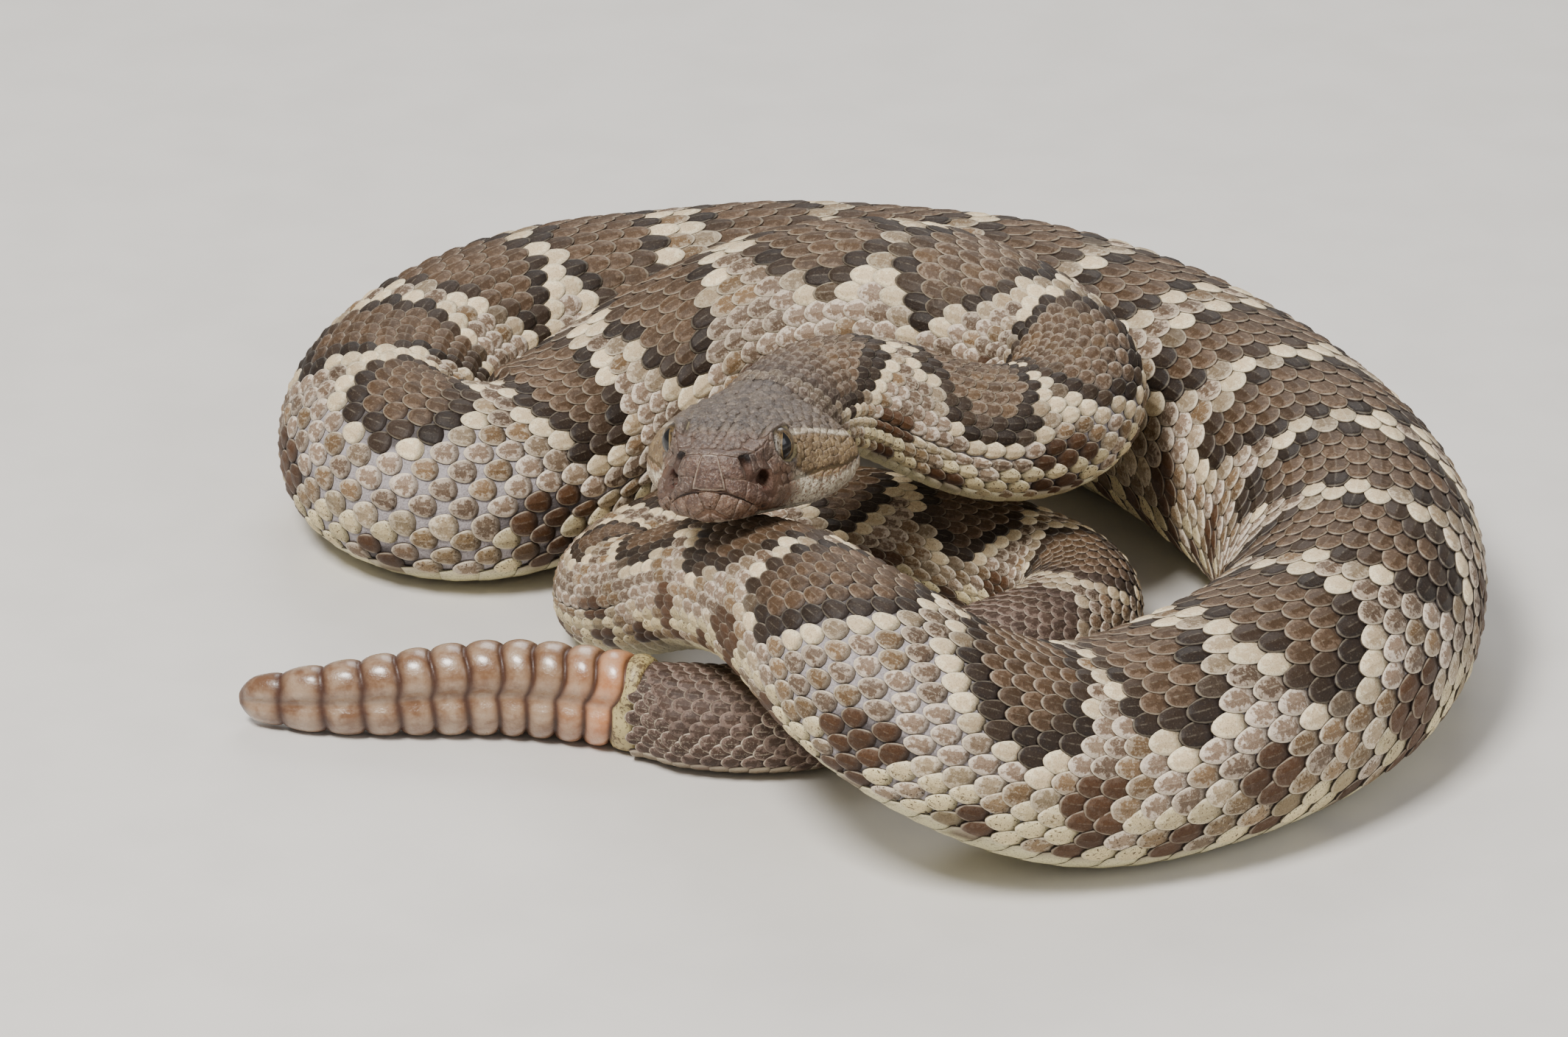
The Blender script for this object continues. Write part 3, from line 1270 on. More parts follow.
@dataclass
class Coat:
    """The scales of the body, in rows along it and belly scutes across it."""
    surface: BodySurface
    markings: Markings
    row_count: int = 25
    belly_edge: float = math.radians(122)
    base_pitch: float = 2.0
    pitch_slope: float = 0.137
    nape_pitch: float = 2.2
    nape_reach: float = 60.0
    bend_crowding: float = 0.34
    tail_crowding: float = 0.24
    length_ratio: float = 1.36
    width_ratio: float = 1.22
    tail_widening: float = 0.22
    squareness: float = 0.10
    plate: float = 0.38
    dome: float = 0.24
    keel: float = 0.17
    thinnest: float = 0.35
    size_jitter: float = 0.035
    root_share: float = 0.35
    usual_spacing: float = 0.003
    low_angle: float = math.radians(98)
    low_span: float = math.radians(18)
    tail_reach: float = 0.02
    rows_from: tuple = (0.0, 0.10, 0.18, 0.56, 0.66, 0.72)
    rows_there: tuple = (21, 23, 25, 25, 23, 21, 19)

    def __post_init__(self) -> None:
        """Lay scale numbers out along the body and draw the random numbers."""
        route = self.surface.route
        width = route.half_width / MM
        pitch = self.base_pitch + self.pitch_slope * width
        near = smooth_step(route.arc / MM / self.nape_reach)
        bend = np.linalg.norm(route.curve, axis=1) * route.half_width
        tight = ramp(bend, 0.30, 0.45)
        average = np.ones(25) / 25
        tight = np.convolve(np.pad(tight, 12, mode="edge"), average, mode="valid")
        self.pitch = (self.nape_pitch + (pitch - self.nape_pitch) * near) * MM
        self.pitch *= 1 - self.bend_crowding * tight
        tail = self.markings.tail_share(route.arc, self.tail_reach)
        self.pitch *= 1 - self.tail_crowding * tail
        steps = np.diff(route.arc) / (0.5 * (self.pitch[:-1] + self.pitch[1:]))
        self.number = np.concatenate([[0.0], np.cumsum(steps)])
        self.rows = np.interp(route.arc, [*self.rows_from, route.length], self.rows_there)
        self.rng = np.random.default_rng(SEED + 1)
        self.edge_arc = self.surface.arc_of(np.array(self.belly_edge))

    def row_step(self, place: Array) -> Array:
        """Arc distance between rows, in half widths."""
        return 2 * self.edge_arc / self.surface.route.read(self.rows, place)

    def row_of(self, place: Array, angle: Array) -> Array:
        """Signed row number at places and angles, with 25 rows as the measure."""
        share = self.surface.arc_of(angle) / self.edge_arc
        return np.sign(angle) * share * self.markings.edge_rows

    def scale_places(self, first: float, last: float) -> tuple:
        """Arc lengths and angles of the scales rooted between two arc lengths."""
        route = self.surface.route
        half = self.row_count // 2 + 1
        places, rows = [], []
        low = np.interp(first, route.arc, self.number)
        high = np.interp(last, route.arc, self.number)
        for row in range(-half, half + 1):
            offset = 0.5 * (abs(row) % 2)
            numbers = np.arange(math.ceil(low - offset), math.ceil(high - offset)) + offset
            place = np.interp(numbers, self.number, route.arc)
            reach = np.abs(row) * self.row_step(place)
            keep = reach < self.edge_arc + 0.12 * self.row_step(place)
            places.append(place[keep])
            rows.append(np.full(keep.sum(), row))
        place = np.concatenate(places)
        row = np.concatenate(rows)
        return place, self.surface.angle_at(row * self.row_step(place))

    @staticmethod
    def bake_roots(place: Array, first: float, last: float, level: Array) -> Array:
        """Places of plates on the map for baking, along a length and at a level."""
        along = 0.03 + 0.94 * (place - first) / max(last - first, 1e-6)
        return np.stack([along, np.broadcast_to(level, place.shape)], axis=-1)

    @staticmethod
    def shell(base: Array, normal: Array, height: Array, under: Array) -> Array:
        """Tops and undersides of plates, kept above the floor."""
        points = np.concatenate([base + normal * height[..., None], under], axis=1)
        points[..., 2] = np.maximum(points[..., 2], 0.0)
        return points

    def build_scales(self, first: float, last: float) -> PlateArrays:
        """Points and paint of the scales between two arc lengths."""
        place, angle = self.scale_places(first, last)
        count = len(place)
        _, along, around, _ = self.surface.patch(place, angle)
        stretch = np.linalg.norm(along, axis=1)
        turn = np.linalg.norm(around, axis=1)
        pitch = self.surface.route.read(self.pitch, place)
        width = self.surface.route.read(self.surface.route.half_width, place)
        spacing = self.row_step(place) * width
        jitter = 1 + self.size_jitter * self.rng.standard_normal((count, 2))
        room = np.maximum(stretch, self.thinnest)
        drawn = stretch ** np.where(stretch > 1, 0.20, 0.45)
        length = self.length_ratio * pitch * drawn * jitter[:, 0]
        tail = self.markings.tail_share(place, self.tail_reach)
        share = self.width_ratio + self.tail_widening * tail
        half_width = 0.5 * share * spacing * jitter[:, 1]
        low_row = smooth_step((np.abs(angle) - self.low_angle) / self.low_span)
        half_width = half_width * (1 + 0.10 * low_row)
        x, y = FINE_SCALE.rounded(self.squareness)
        taper = 1.0 - 0.20 * x - 0.06 * x ** 2
        along_share = 0.5 * (x + 1)
        dx = (along_share[None, :] - self.root_share) * (length / room)[:, None]
        dy = (y * taper)[None, :] * half_width[:, None]
        grid = place[:, None] + dx
        turned = angle[:, None] + dy / turn[:, None]
        size = (spacing / self.usual_spacing)[:, None]
        rise = np.clip(self.plate * MM * length / (room * pitch), 0.00030, 0.00080)[:, None]
        rise = rise * np.clip(size, 0.55, 1.0)
        keel_size = self.keel * (1 - 0.9 * low_row)[:, None]
        free = smooth_step((x + 0.95) / 0.85)
        ridge = bell(FINE_SCALE.across, 0.12) * fall(x, 1, 0.35) * free
        hump = FINE_SCALE.hump(2.4) * free
        height = (0.06 * MM + rise * (along_share ** 0.8)[None, :]
                  + size * MM * (self.dome * hump[None, :] + keel_size * ridge[None, :]))
        base, _, _, normal = self.surface.patch(grid, turned)
        under = (base - normal * 0.00012)[:, FINE_SCALE.rim]
        under += normal[:, FINE_SCALE.rim] * (height[:, FINE_SCALE.rim, None] * 0.25)
        points = self.shell(base, normal, height, under)
        draws = self.rng.random((count, 3))
        tint, core, marks, _ = self.markings.body(place, self.row_of(place, angle), draws)
        marks[:, 2] *= 1 - low_row
        roots = self.bake_roots(place, first, last, 0.5 + 0.45 * angle / math.pi)
        return FINE_SCALE.group(points, (tint, core, marks), roots)

    def build_scutes(self, first: float, last: float) -> PlateArrays:
        """Points and paint of the belly scutes between two arc lengths."""
        route = self.surface.route
        low = math.ceil(np.interp(first, route.arc, self.number))
        high = math.ceil(np.interp(last, route.arc, self.number))
        place = np.interp(np.arange(low, high) + 0.2, self.number, route.arc)
        count = len(place)
        pitch = route.read(self.pitch, place)
        along, across = BELLY_SCUTE.along, BELLY_SCUTE.across
        bulge = 0.22 * (1 - across ** 2)
        along_share = 0.5 * (along + 1) + bulge * 0.5
        grid = place[:, None] + (along_share[None, :] - 0.5) * 1.30 * pitch[:, None]
        half = math.pi - self.belly_edge + math.radians(4)
        corner = 1 - 0.05 * np.abs(along) ** 3
        angle = math.pi + across * half * corner
        angle = np.broadcast_to(np.where(angle > math.pi, angle - 2 * math.pi, angle), grid.shape)
        base, _, _, normal = self.surface.patch(grid, angle)
        height = MM * (0.12 + 0.26 * along_share + 0.16 * BELLY_SCUTE.hump(4))
        rim = BELLY_SCUTE.rim
        under = base[:, rim] + normal[:, rim] * 0.00001
        points = self.shell(base, normal, height, under)
        draws = self.rng.random((count, 3))
        full = BELLY_SCUTE.count
        ends = BELLY_SCUTE.with_rim(angle)
        flat_place = np.repeat(place, full)
        flat_angle = np.where(ends < 0, -1, 1).ravel() * np.abs(ends).ravel()
        rows = self.row_of(flat_place, flat_angle)
        part = self.markings.shapes(flat_place, rows, np.zeros(len(rows)))
        tint = filled(PALETTE.belly, len(rows))
        tint = blend(tint, Hue.FLANK_SPOT.edge, 0.9 * part["low"])
        tint = blend(tint, Hue.TAIL.edge, 0.8 * self.markings.tail_share(flat_place))
        tint *= np.repeat(0.9 + 0.2 * draws[:, 1], full)[:, None]
        marks = np.stack([np.full(len(rows), 0.35), 0.5 * (1 - part["low"]), np.zeros(len(rows))], axis=1)
        roots = self.bake_roots(place, first, last, 0.985)
        return BELLY_SCUTE.group(points, (tint, 0.94 * tint, marks), roots)

    def dress(self) -> None:
        """Build every coat piece of the body."""
        material = ScaleFinish("body_scales").build()
        route = self.surface.route
        for name, start, end, slot in COAT_LENGTHS:
            first, last = route.arc_at(start), route.arc_at(end)
            parts = [self.build_scales(first, last), self.build_scutes(first, last)]
            add_piece(joined(name, parts), material)


@dataclass(frozen=True)
class Swelling:
    """A soft swelling of the head as seen from the side, in the head's millimetres."""
    back: float
    height: float
    back_reach: float
    height_reach: float
    rise: float
    right_extra: float = 0.0


# Upper lip, lower lip and the jaw's corner
SWELLINGS = (
    Swelling(6.4, -3.2, 3.4, 2.6, 1.0, 0.3),
    Swelling(5.0, -5.0, 3.2, 1.7, 0.3, 1.1),
    Swelling(19.5, -6.6, 7.0, 2.1, 1.0),
)


@dataclass(frozen=True)
class HeadRelief:
    """Rises and depths of the head's sculpted forms, in millimetres."""
    lid: float = 0.34
    lid_groove: float = 0.16
    snout_ridge: float = 0.42
    eye_hollow: float = 0.32
    opening_rim: float = 0.12
    pit_front: float = 0.35
    pit_lead: tuple = (1.5, 0.7, 0.0)
    pit_front_radii: tuple = (1.4, 1.5, 1.1)
    pit_back: float = 1.7
    pit_inward: float = 1.1
    mouth_groove: float = 0.26
    upper_lip: float = 0.12
    throat: float = 0.45
    jaw: float = 0.35
    brow_spread: float = 0.30


@dataclass
class Skin:
    """One closed skin from the snout to the end of the tail."""
    head: HeadSurface
    body: BodySurface
    coat: Coat
    markings: Markings
    head_sides: int = 192
    body_sides: int = 96
    head_step: float = 0.22
    body_step: float = 0.0022
    mouth_share: float = 0.62
    cap_rings: int = 14
    relief: HeadRelief = HeadRelief()
    head_points: Array = None

    def angles(self, back: float) -> Array:
        """Angles round one head section, spaced so that one always lies on the mouth line."""
        half = self.head_sides // 2
        mouth = self.head.mouth_angle(min(max(back, 0.0), MOUTH_END))
        at_mouth = self.mouth_share * half
        fade = float(smooth_step(np.array((back - MOUTH_END) / (HEAD_LENGTH - MOUTH_END))))
        mouth += (math.pi * self.mouth_share - mouth) * fade
        index = np.arange(half + 1)
        right = np.interp(index, [0, at_mouth, half], [0.0, mouth, math.pi])
        return np.concatenate([right, 2 * math.pi - right[-2:0:-1]])

    def head_grid(self) -> Array:
        """Local points of all head rings, from the cap's middle to the nape."""
        first = self.head.ring(0.0, self.angles(0.0))
        rings = []
        for share in np.linspace(0, 1, self.cap_rings + 1)[1:-1]:
            ring = CAP_MIDDLE + (first - CAP_MIDDLE) * share
            ring[:, 0] = first[:, 0] * share ** 0.35 - 0.40 * (1 - share ** 2)
            rings.append(ring)
        count = int(round(HEAD_LENGTH / self.head_step))
        for back in HEAD_LENGTH * (np.linspace(0, 1, count + 1) ** 1.25)[:-1]:
            rings.append(self.head.ring(back, self.angles(back)))
        return np.array(rings)

    @staticmethod
    def outward(grid: Array) -> Array:
        """Normals of the head's rings that point away from its core."""
        along = np.gradient(grid, axis=0)
        around = np.roll(grid, -1, axis=1) - np.roll(grid, 1, axis=1)
        normal = unit(np.cross(around, along))
        away = grid * np.array([0, 1, 1]) - np.array([0, 0, CORE_HEIGHT])
        return normal * np.sign(np.sum(normal * away, axis=-1, keepdims=True) + 1e-9)

    def sculpt(self, grid: Array) -> Array:
        """Add lids, brows, nostrils, heat pits and the mouth line to the head's rings."""
        size = self.relief
        back, across, height = grid[..., 0], grid[..., 1], grid[..., 2]
        out, sign, right = np.abs(across), np.sign(across), across < 0
        eye, beside = eye_zone(back, out, height)
        push = size.lid * bell(eye - EYE_OPENING - 0.70, 0.34) * beside
        push -= size.lid_groove * bell(eye - EYE_OPENING - 0.20, 0.20) * beside
        level = height - HEAD_AXIS_HEIGHT
        diagonal = (out / (np.max(out, axis=1, keepdims=True) + 1e-9)
                    - level / np.max(level, axis=1, keepdims=True))
        ridge = bell(diagonal, 0.16) * bell(back - 5.2, 3.4, 4)
        push += size.snout_ridge * ridge * smooth_step(height)
        hollow = spread((back - 6.4, out - 7.2, height - 0.9), (2.4, 2.0, 1.4))
        push -= size.eye_hollow * smooth_step(1.1 - hollow)
        for opening in OPENINGS:
            reach = np.sqrt(spread(opening.gaps(back, out, height, sign), opening.radii))
            push += size.opening_rim * bell(reach - 1.35, 0.30)
            push -= (opening.depth * (1 + opening.right_extra * right) * fall(reach, 1.12, 0.5))
        gaps = PIT.gaps(back, out, height, sign)
        pit = smooth_step((1.10 - np.sqrt(spread(gaps, PIT.radii))) / 0.45)
        fore = np.sqrt(spread([gap + lead for gap, lead in zip(gaps, size.pit_lead)], size.pit_front_radii))
        push -= size.pit_front * (1 + 0.6 * right) * fall(fore, 1.1, 0.8)
        gap = height - mouth_height(back)
        fade = smooth_step((MOUTH_END + 1.0 - back) / 1.5)
        push -= size.mouth_groove * bell(gap, 0.20) * fade
        push += size.upper_lip * bell(gap - 0.9, 0.5) * fade
        for part in SWELLINGS:
            push += (part.rise + part.right_extra * right) * np.exp(-spread(
                (back - part.back, height - part.height), (part.back_reach, part.height_reach)))
        push -= size.throat * smooth_step(-7.9 - height) * ramp(back, 5.0, 3.0)
        jaw = spread((back - 22, out - 12.5, height + 3.5), (8.0, 4.0, 3.0))
        push += size.jaw * smooth_step(1.0 - jaw)
        shaped = grid + self.outward(grid) * push[..., None]
        shaped[..., 0] += size.pit_back * pit
        shaped[..., 1] -= size.pit_inward * pit * sign
        shelf = (bell(back - BROW_PLACE[0], 3.5, 4) * ramp(out, 4.8, 1.5) * ramp(height, 1.4, 1.3))
        shaped[..., 2] += shelf * np.maximum(BROW_PLACE[2] - shaped[..., 2], 0.0)
        shaped[..., 1] += size.brow_spread * shelf * sign
        return shaped

    def build(self) -> Mesh:
        """Make the skin's mesh with its tint and map."""
        head_local = self.sculpt(self.head_grid())
        self.head_points = head_local
        head_rows, sides = head_local.shape[:2]
        flat = head_local.reshape(-1, 3)
        length = self.body.route.length
        places = np.linspace(0.0, length, int(round(length / self.body_step)) + 1)
        turn = np.linspace(0, 2 * math.pi, self.body_sides, endpoint=False)
        place, angle = (g.ravel() for g in np.meshgrid(places, turn, indexing="ij"))
        body_points = self.body.at(place, angle)
        body_points[:, 2] = np.maximum(body_points[:, 2], 0.0)
        nose = self.head.world(NOSE_TIP[None])
        tail = body_points[-self.body_sides:].mean(axis=0, keepdims=True)
        points = np.concatenate([self.head.world(flat), body_points, nose, tail])
        loops, totals = self.faces(head_rows, len(places))
        mesh = mesh_from("skin", points, loops, totals)
        head_tint = self.markings.head_skin(flat)
        signed = np.where(angle > math.pi, angle - 2 * math.pi, angle)
        row = self.coat.row_of(place, signed)
        dark = self.markings.body(place, row, np.full((len(place), 3), 0.5))[3]
        dark = np.maximum(dark, self.markings.tail_share(place))
        tint = blend(filled(PALETTE.bare_skin, len(place)), PALETTE.bare_dark, 0.85 * dark)
        near = fall(place, 0.012, 0.012)
        tint = blend(tint, PALETTE.crown_dark, near)
        paint(mesh, "Tint", np.concatenate([head_tint, tint, head_tint[:1], tint[-1:]]))
        head_angle = np.tile(np.linspace(0, 1, sides, endpoint=False), head_rows)
        head_uv = np.stack([flat[:, 0] / HEAD_LENGTH * 0.15 + 0.01, head_angle], axis=-1)
        body_uv = np.stack([0.17 + 0.82 * place / length, angle / (2 * math.pi)], axis=-1)
        ends = np.array([[0.005, 0.5], [0.995, 0.5]])
        map_uv(mesh, "UVMap", np.concatenate([head_uv, body_uv, ends]))
        return mesh

    def faces(self, head_rows: int, body_rows: int) -> tuple:
        """Face arrays of head, join, body and both ends."""
        wide, slim = self.head_sides, self.body_sides
        head = numbered(head_rows, wide)
        body = numbered(body_rows, slim, head.size)
        nose = head.size + body.size
        quads = np.concatenate([tube_quads(head), tube_quads(body)])
        loops, totals = [quads.ravel()], [np.full(len(quads), 4)]
        ratio = wide // slim
        last, first = head[-1], body[0]
        for i in range(slim):
            j = (i + 1) % slim
            upper = [last[(i * ratio + k) % wide] for k in range(ratio + 1)]
            loops.append(np.array(upper[::-1] + [first[i], first[j]]))
            totals.append(np.array([ratio + 3]))
        for fan in (end_fan(head[0], nose), end_fan(body[-1], nose + 1)[:, ::-1]):
            loops.append(fan.ravel())
            totals.append(np.full(len(fan), 3))
        return np.concatenate(loops), np.concatenate(totals)

    def dress(self) -> Object:
        """Add the skin in place of the frame's flesh."""
        return add_piece(self.build(), SkinFinish().build(), FLESH_NODES)


@dataclass(frozen=True)
class Shield:
    """A large plate of the head between four corners: back, across and height in millimetres.

    The corners run root, root, tip, tip, so that the second and third share a side.
    """
    corners: tuple
    lift: float = 0.17
    square: float = 0.72
    rim: float = 0.25
    specks: float = 0.0


# One side of the snout and brow; the other side mirrors it
SIDE_SHIELDS = (
    Shield(((0.0, 2.25, -0.6), (-0.05, 2.60, -2.5), (1.3, 4.8, -3.6), (1.5, 5.1, -1.1))),
    Shield(((0.0, 2.0, -0.5), (1.3, 4.8, -0.9), (1.0, 3.9, 2.5), (0.2, 1.25, 2.6))),
    Shield(((2.6, 5.7, -0.4), (3.9, 6.5, -0.1), (3.8, 5.9, 2.6), (2.7, 5.2, 2.6))),
    Shield(((0.35, 0.08, 2.9), (0.35, 1.3, 2.75), (2.1, 2.9, 3.2), (2.1, 0.10, 3.3)), rim=0.6),
    Shield(((0.6, 1.6, 2.75), (1.4, 4.2, 2.55), (4.1, 5.7, 3.0), (2.6, 3.1, 3.3)), rim=0.6),
    Shield(((4.3, 3.9, 3.5), (4.3, 5.8, 3.0), (7.2, 6.7, 3.6), (7.2, 4.6, 4.1))),
    Shield(((3.9, 6.5, -0.2), (6.1, 7.4, -0.3), (6.1, 6.7, 2.8), (3.9, 5.9, 2.6))),
    Shield(((6.3, 7.4, 1.0), (7.7, 7.8, 1.3), (7.5, 7.0, 3.4), (6.3, 6.7, 2.9))),
    Shield(((6.3, 7.5, -1.3), (8.6, 8.3, -1.2), (8.0, 8.0, 1.1), (6.3, 7.5, 0.8))),
    Shield(((7.5, 4.9, 4.4), (7.6, 7.4, 4.5), (14.0, 8.9, 4.8), (14.6, 6.2, 4.9)), lift=0.17,
           square=0.55),
    Shield(((0.1, 1.8, -2.85), (0.8, 3.9, -3.6), (1.6, 2.5, -6.0), (1.0, 0.65, -4.9))),
    Shield(((0.9, 4.05, -3.7), (2.4, 5.25, -4.6), (2.8, 4.0, -6.8), (1.7, 2.6, -6.1))),
    Shield(((2.5, 5.4, -4.7), (4.2, 6.1, -5.55), (4.6, 5.0, -7.5), (2.9, 4.1, -6.9))),
    Shield(((1.15, 0.1, -5.35), (1.75, 2.35, -6.45), (3.8, 2.2, -7.8), (2.6, 0.1, -7.3))),
    Shield(((1.9, 2.7, -6.6), (3.0, 3.9, -7.2), (5.0, 3.8, -8.0), (4.1, 2.4, -7.9))),
)
MIDDLE_SHIELDS = (
    Shield(((0.15, -1.0, 2.75), (-0.3, -2.35, -2.2), (-0.3, 2.35, -2.2), (0.15, 1.0, 2.75)),
           lift=0.30, square=0.85, rim=0.85),
    Shield(((-0.1, -1.6, -2.68), (0.6, -0.6, -4.8), (0.6, 0.6, -4.8), (-0.1, 1.6, -2.68)),
           lift=0.26, square=0.6),
)


@dataclass
class HeadCoat:
    """Plates and small scales of the head, laid on the skin."""
    head: HeadSurface
    skin: Skin
    markings: Markings
    smallest: float = 0.90
    largest: float = 1.65
    candidates: int = 18000
    labial_count: int = 15
    pit_margin: float = 1.75
    upper_start: float = 2.6           # where each row of lip plates starts along the mouth line
    lower_start: float = 5.6
    lower_tall: float = 1.9
    lip_gap: float = 0.14
    clear_square: float = 0.36         # square of the small scales' distance from laid plates
    eye_clear: float = 3.0
    nostril_clear: float = 1.1
    settling_passes: int = 4

    def __post_init__(self) -> None:
        """Keep a search tree of the head's skin and start the random draws."""
        grid = self.skin.head_points
        number = numbered(*grid.shape[:2])
        faces = [*tube_quads(number).tolist(), *end_fan(number[0], number.size).tolist()]
        points = np.vstack([grid.reshape(-1, 3), NOSE_TIP])
        self.tree = BVHTree.FromPolygons([Vector(point) for point in points], faces)
        self.rng = np.random.default_rng(SEED + 3)
        self.parts = []
        self.covered = []

    def drape(self, flat: Array, template: Template, heights: Array,
              rim: float, specks: float, draw: Array) -> None:
        """Lay one plate on the skin and keep its arrays.

        Args:
            flat: The plate's top points before they are laid on the skin.
            template: The plate's grid.
            heights: Height over the skin of each top point, in millimetres.
            rim: Share of the pale rim.
            specks: Share of dark specks.
            draw: Two random numbers in 0..1 that set the plate's tone.
        """
        hits = [self.tree.find_nearest(Vector(p)) for p in flat]
        base = np.array([h[0] for h in hits])
        normals = np.array([h[1] for h in hits])
        outward = out_of_head(flat.mean(axis=0))
        normals *= np.sign(normals @ outward + 1e-9)[:, None]
        normals = unit(0.6 * unit(normals.mean(axis=0)) + 0.4 * normals)
        top = base + normals * heights[:, None]
        under = base[template.rim] - normals[template.rim] * 0.10
        local = np.concatenate([top, under])
        centre = base.mean(axis=0)
        turn = math.atan2(centre[1], centre[2] - HEAD_AXIS_HEIGHT)
        root = np.array([0.04 + 0.92 * np.clip(centre[0] / HEAD_LENGTH, 0, 1), 0.5 + 0.46 * turn / math.pi])
        flip = np.sum(np.cross(flat[1] - flat[0], flat[template.rim[-1]] - flat[0]) * outward)
        tint = self.markings.head(local, np.tile(draw, (template.count, 1)))
        marks = np.array([[rim, specks, 0.0]])
        self.parts.append(template.group(self.head.world(local)[None],
                                         (tint, 0.72 * tint, marks), root[None], flip >= 0))
        self.covered.append(base)

    def lay_shield(self, corners: Array, shield: Shield) -> None:
        """Lay a large plate between four corners."""
        template = SMOOTH_PLATE
        x, y = template.rounded(shield.square)
        middle = corners.mean(axis=0)
        size = np.linalg.norm(corners - middle, axis=1).mean()
        corners = middle + (corners - middle) * (1.10 - 0.05 / size)
        far, over = 0.5 * (x + 1), 0.5 * (y + 1)
        flat = (np.outer((1 - far) * (1 - over), corners[0]) + np.outer((1 - far) * over, corners[1])
                + np.outer(far * over, corners[2]) + np.outer(far * (1 - over), corners[3]))
        wave = 0.05 * np.sin(4 * template.along + 3 * template.across + self.rng.uniform(0, 6))
        heights = 0.05 + shield.lift * (0.35 + 0.65 * template.hump(2.6)) + wave
        self.drape(flat, template, heights, shield.rim, shield.specks, self.rng.uniform(0.25, 0.75, 2))

    def lay_scale(self, spot: Array, along: Array, length: float, width: float,
                  lift: float, keel: float, rim: float, specks: float) -> None:
        """Lay one small scale: its middle, direction and sizes in the head's millimetres."""
        template = HEAD_SCALE
        hit, normal, _, _ = self.tree.find_nearest(Vector(spot))
        normal = np.array(normal)
        normal *= np.sign(normal @ out_of_head(np.array(hit)) + 1e-9)
        along = unit(along - normal * (along @ normal))
        across = np.cross(normal, along)
        x, y = template.rounded(0.2)
        y = y * (1 - 0.22 * x)
        flat = (np.array(hit) + np.outer(0.5 * length * x, along) + np.outer(0.5 * width * y, across))
        ridge = bell(template.across, 0.2) * smooth_step((1 - np.abs(x)) / 0.4)
        crown = 0.25 + 0.45 * template.hump(2.5) + 0.40 * (0.5 * x + 0.5)
        heights = 0.06 + lift * crown + keel * ridge
        self.drape(flat, template, heights, rim, specks, self.rng.random(2))

    def shields(self) -> None:
        """Lay the snout's and the brows' large plates."""
        for shield in MIDDLE_SHIELDS:
            self.lay_shield(np.array(shield.corners), shield)
        for shield in SIDE_SHIELDS:
            for sign in (1, -1):
                corners = mirrored(np.array(shield.corners), sign)
                pit = PIT.middle(corners[:, 1])
                away = np.linalg.norm(corners - pit, axis=1, keepdims=True)
                corners = pit + (corners - pit) * np.maximum(1.0, self.pit_margin / away)
                self.lay_shield(corners, shield)

    def lip_point(self, back: float, height: float) -> Array:
        """The skin's place on the positive side at a distance back and a height."""
        angles = np.linspace(0.02, math.pi - 0.02, 400)
        across, level = self.head.section(np.full_like(angles, back), angles)
        angle = np.interp(-height, -level, angles)
        return np.array([back, np.interp(angle, angles, across), height])

    def labials(self) -> None:
        """Lay the plates of both lips along the mouth line."""
        backs = np.linspace(0.0, MOUTH_END, 200)
        mouth = mouth_height(backs)
        line = np.array([self.lip_point(b, h) for b, h in zip(backs, mouth)])
        arc = np.concatenate([[0.0], np.cumsum(np.linalg.norm(np.diff(line, axis=0), axis=1))])
        for upper, side in ((True, 1), (False, -1)):
            start = self.upper_start if upper else self.lower_start
            starts = np.linspace(start, arc[-1], self.labial_count + 1)
            for k in range(self.labial_count):
                first, last = np.interp(starts[k:k + 2], arc, backs)
                low, high = mouth_height([first, last])
                tall = self.lip_height(k) if upper else self.lower_tall
                lip, reach, lean = side * self.lip_gap, side * tall, 0.18 * tall
                corners = np.array([self.lip_point(first, low + lip),
                                    self.lip_point(last, high + lip),
                                    self.lip_point(last + lean, high + reach),
                                    self.lip_point(first + lean, low + reach)])
                pale = 1.0 if k > 4 else 0.1
                specks = (pale if k < 12 else 0.3) if upper else 0.3 * pale
                shield = Shield((), lift=0.20, square=0.80, rim=0.3, specks=specks)
                for sign in (1, -1):
                    self.lay_shield(mirrored(corners, sign), shield)

    @staticmethod
    def lip_height(k: int) -> float:
        """Height of an upper lip plate: taller toward the cheek, low at the mouth's corner."""
        return 2.5 + 1.3 * min(1.0, k / 5) - 2.0 * max(0.0, (k - 8) / 6)

    def eye_rings(self) -> None:
        """Lay two rings of small scales round each eye, open above where the brow is."""
        for radius, count, length in ((2.70, 18, 0.75), (3.45, 16, 1.15)):
            for sign, k in itertools.product((1, -1), range(count)):
                turn = 2 * math.pi * (k + 0.5) / count
                if math.sin(turn) > 0.72:
                    continue
                spot = np.array([EYE_PLACE[0] + radius * math.cos(turn),
                                 sign * (EYE_PLACE[1] + 2.2 + 0.35 * radius * math.cos(turn)),
                                 EYE_PLACE[2] + radius * math.sin(turn)])
                along = np.array([math.cos(turn), 0.0, math.sin(turn)])
                width = 2 * math.pi * radius / count * 1.12
                self.lay_scale(spot, along, length * 1.2, width, 0.16, 0.0, 0.3, 0.0)

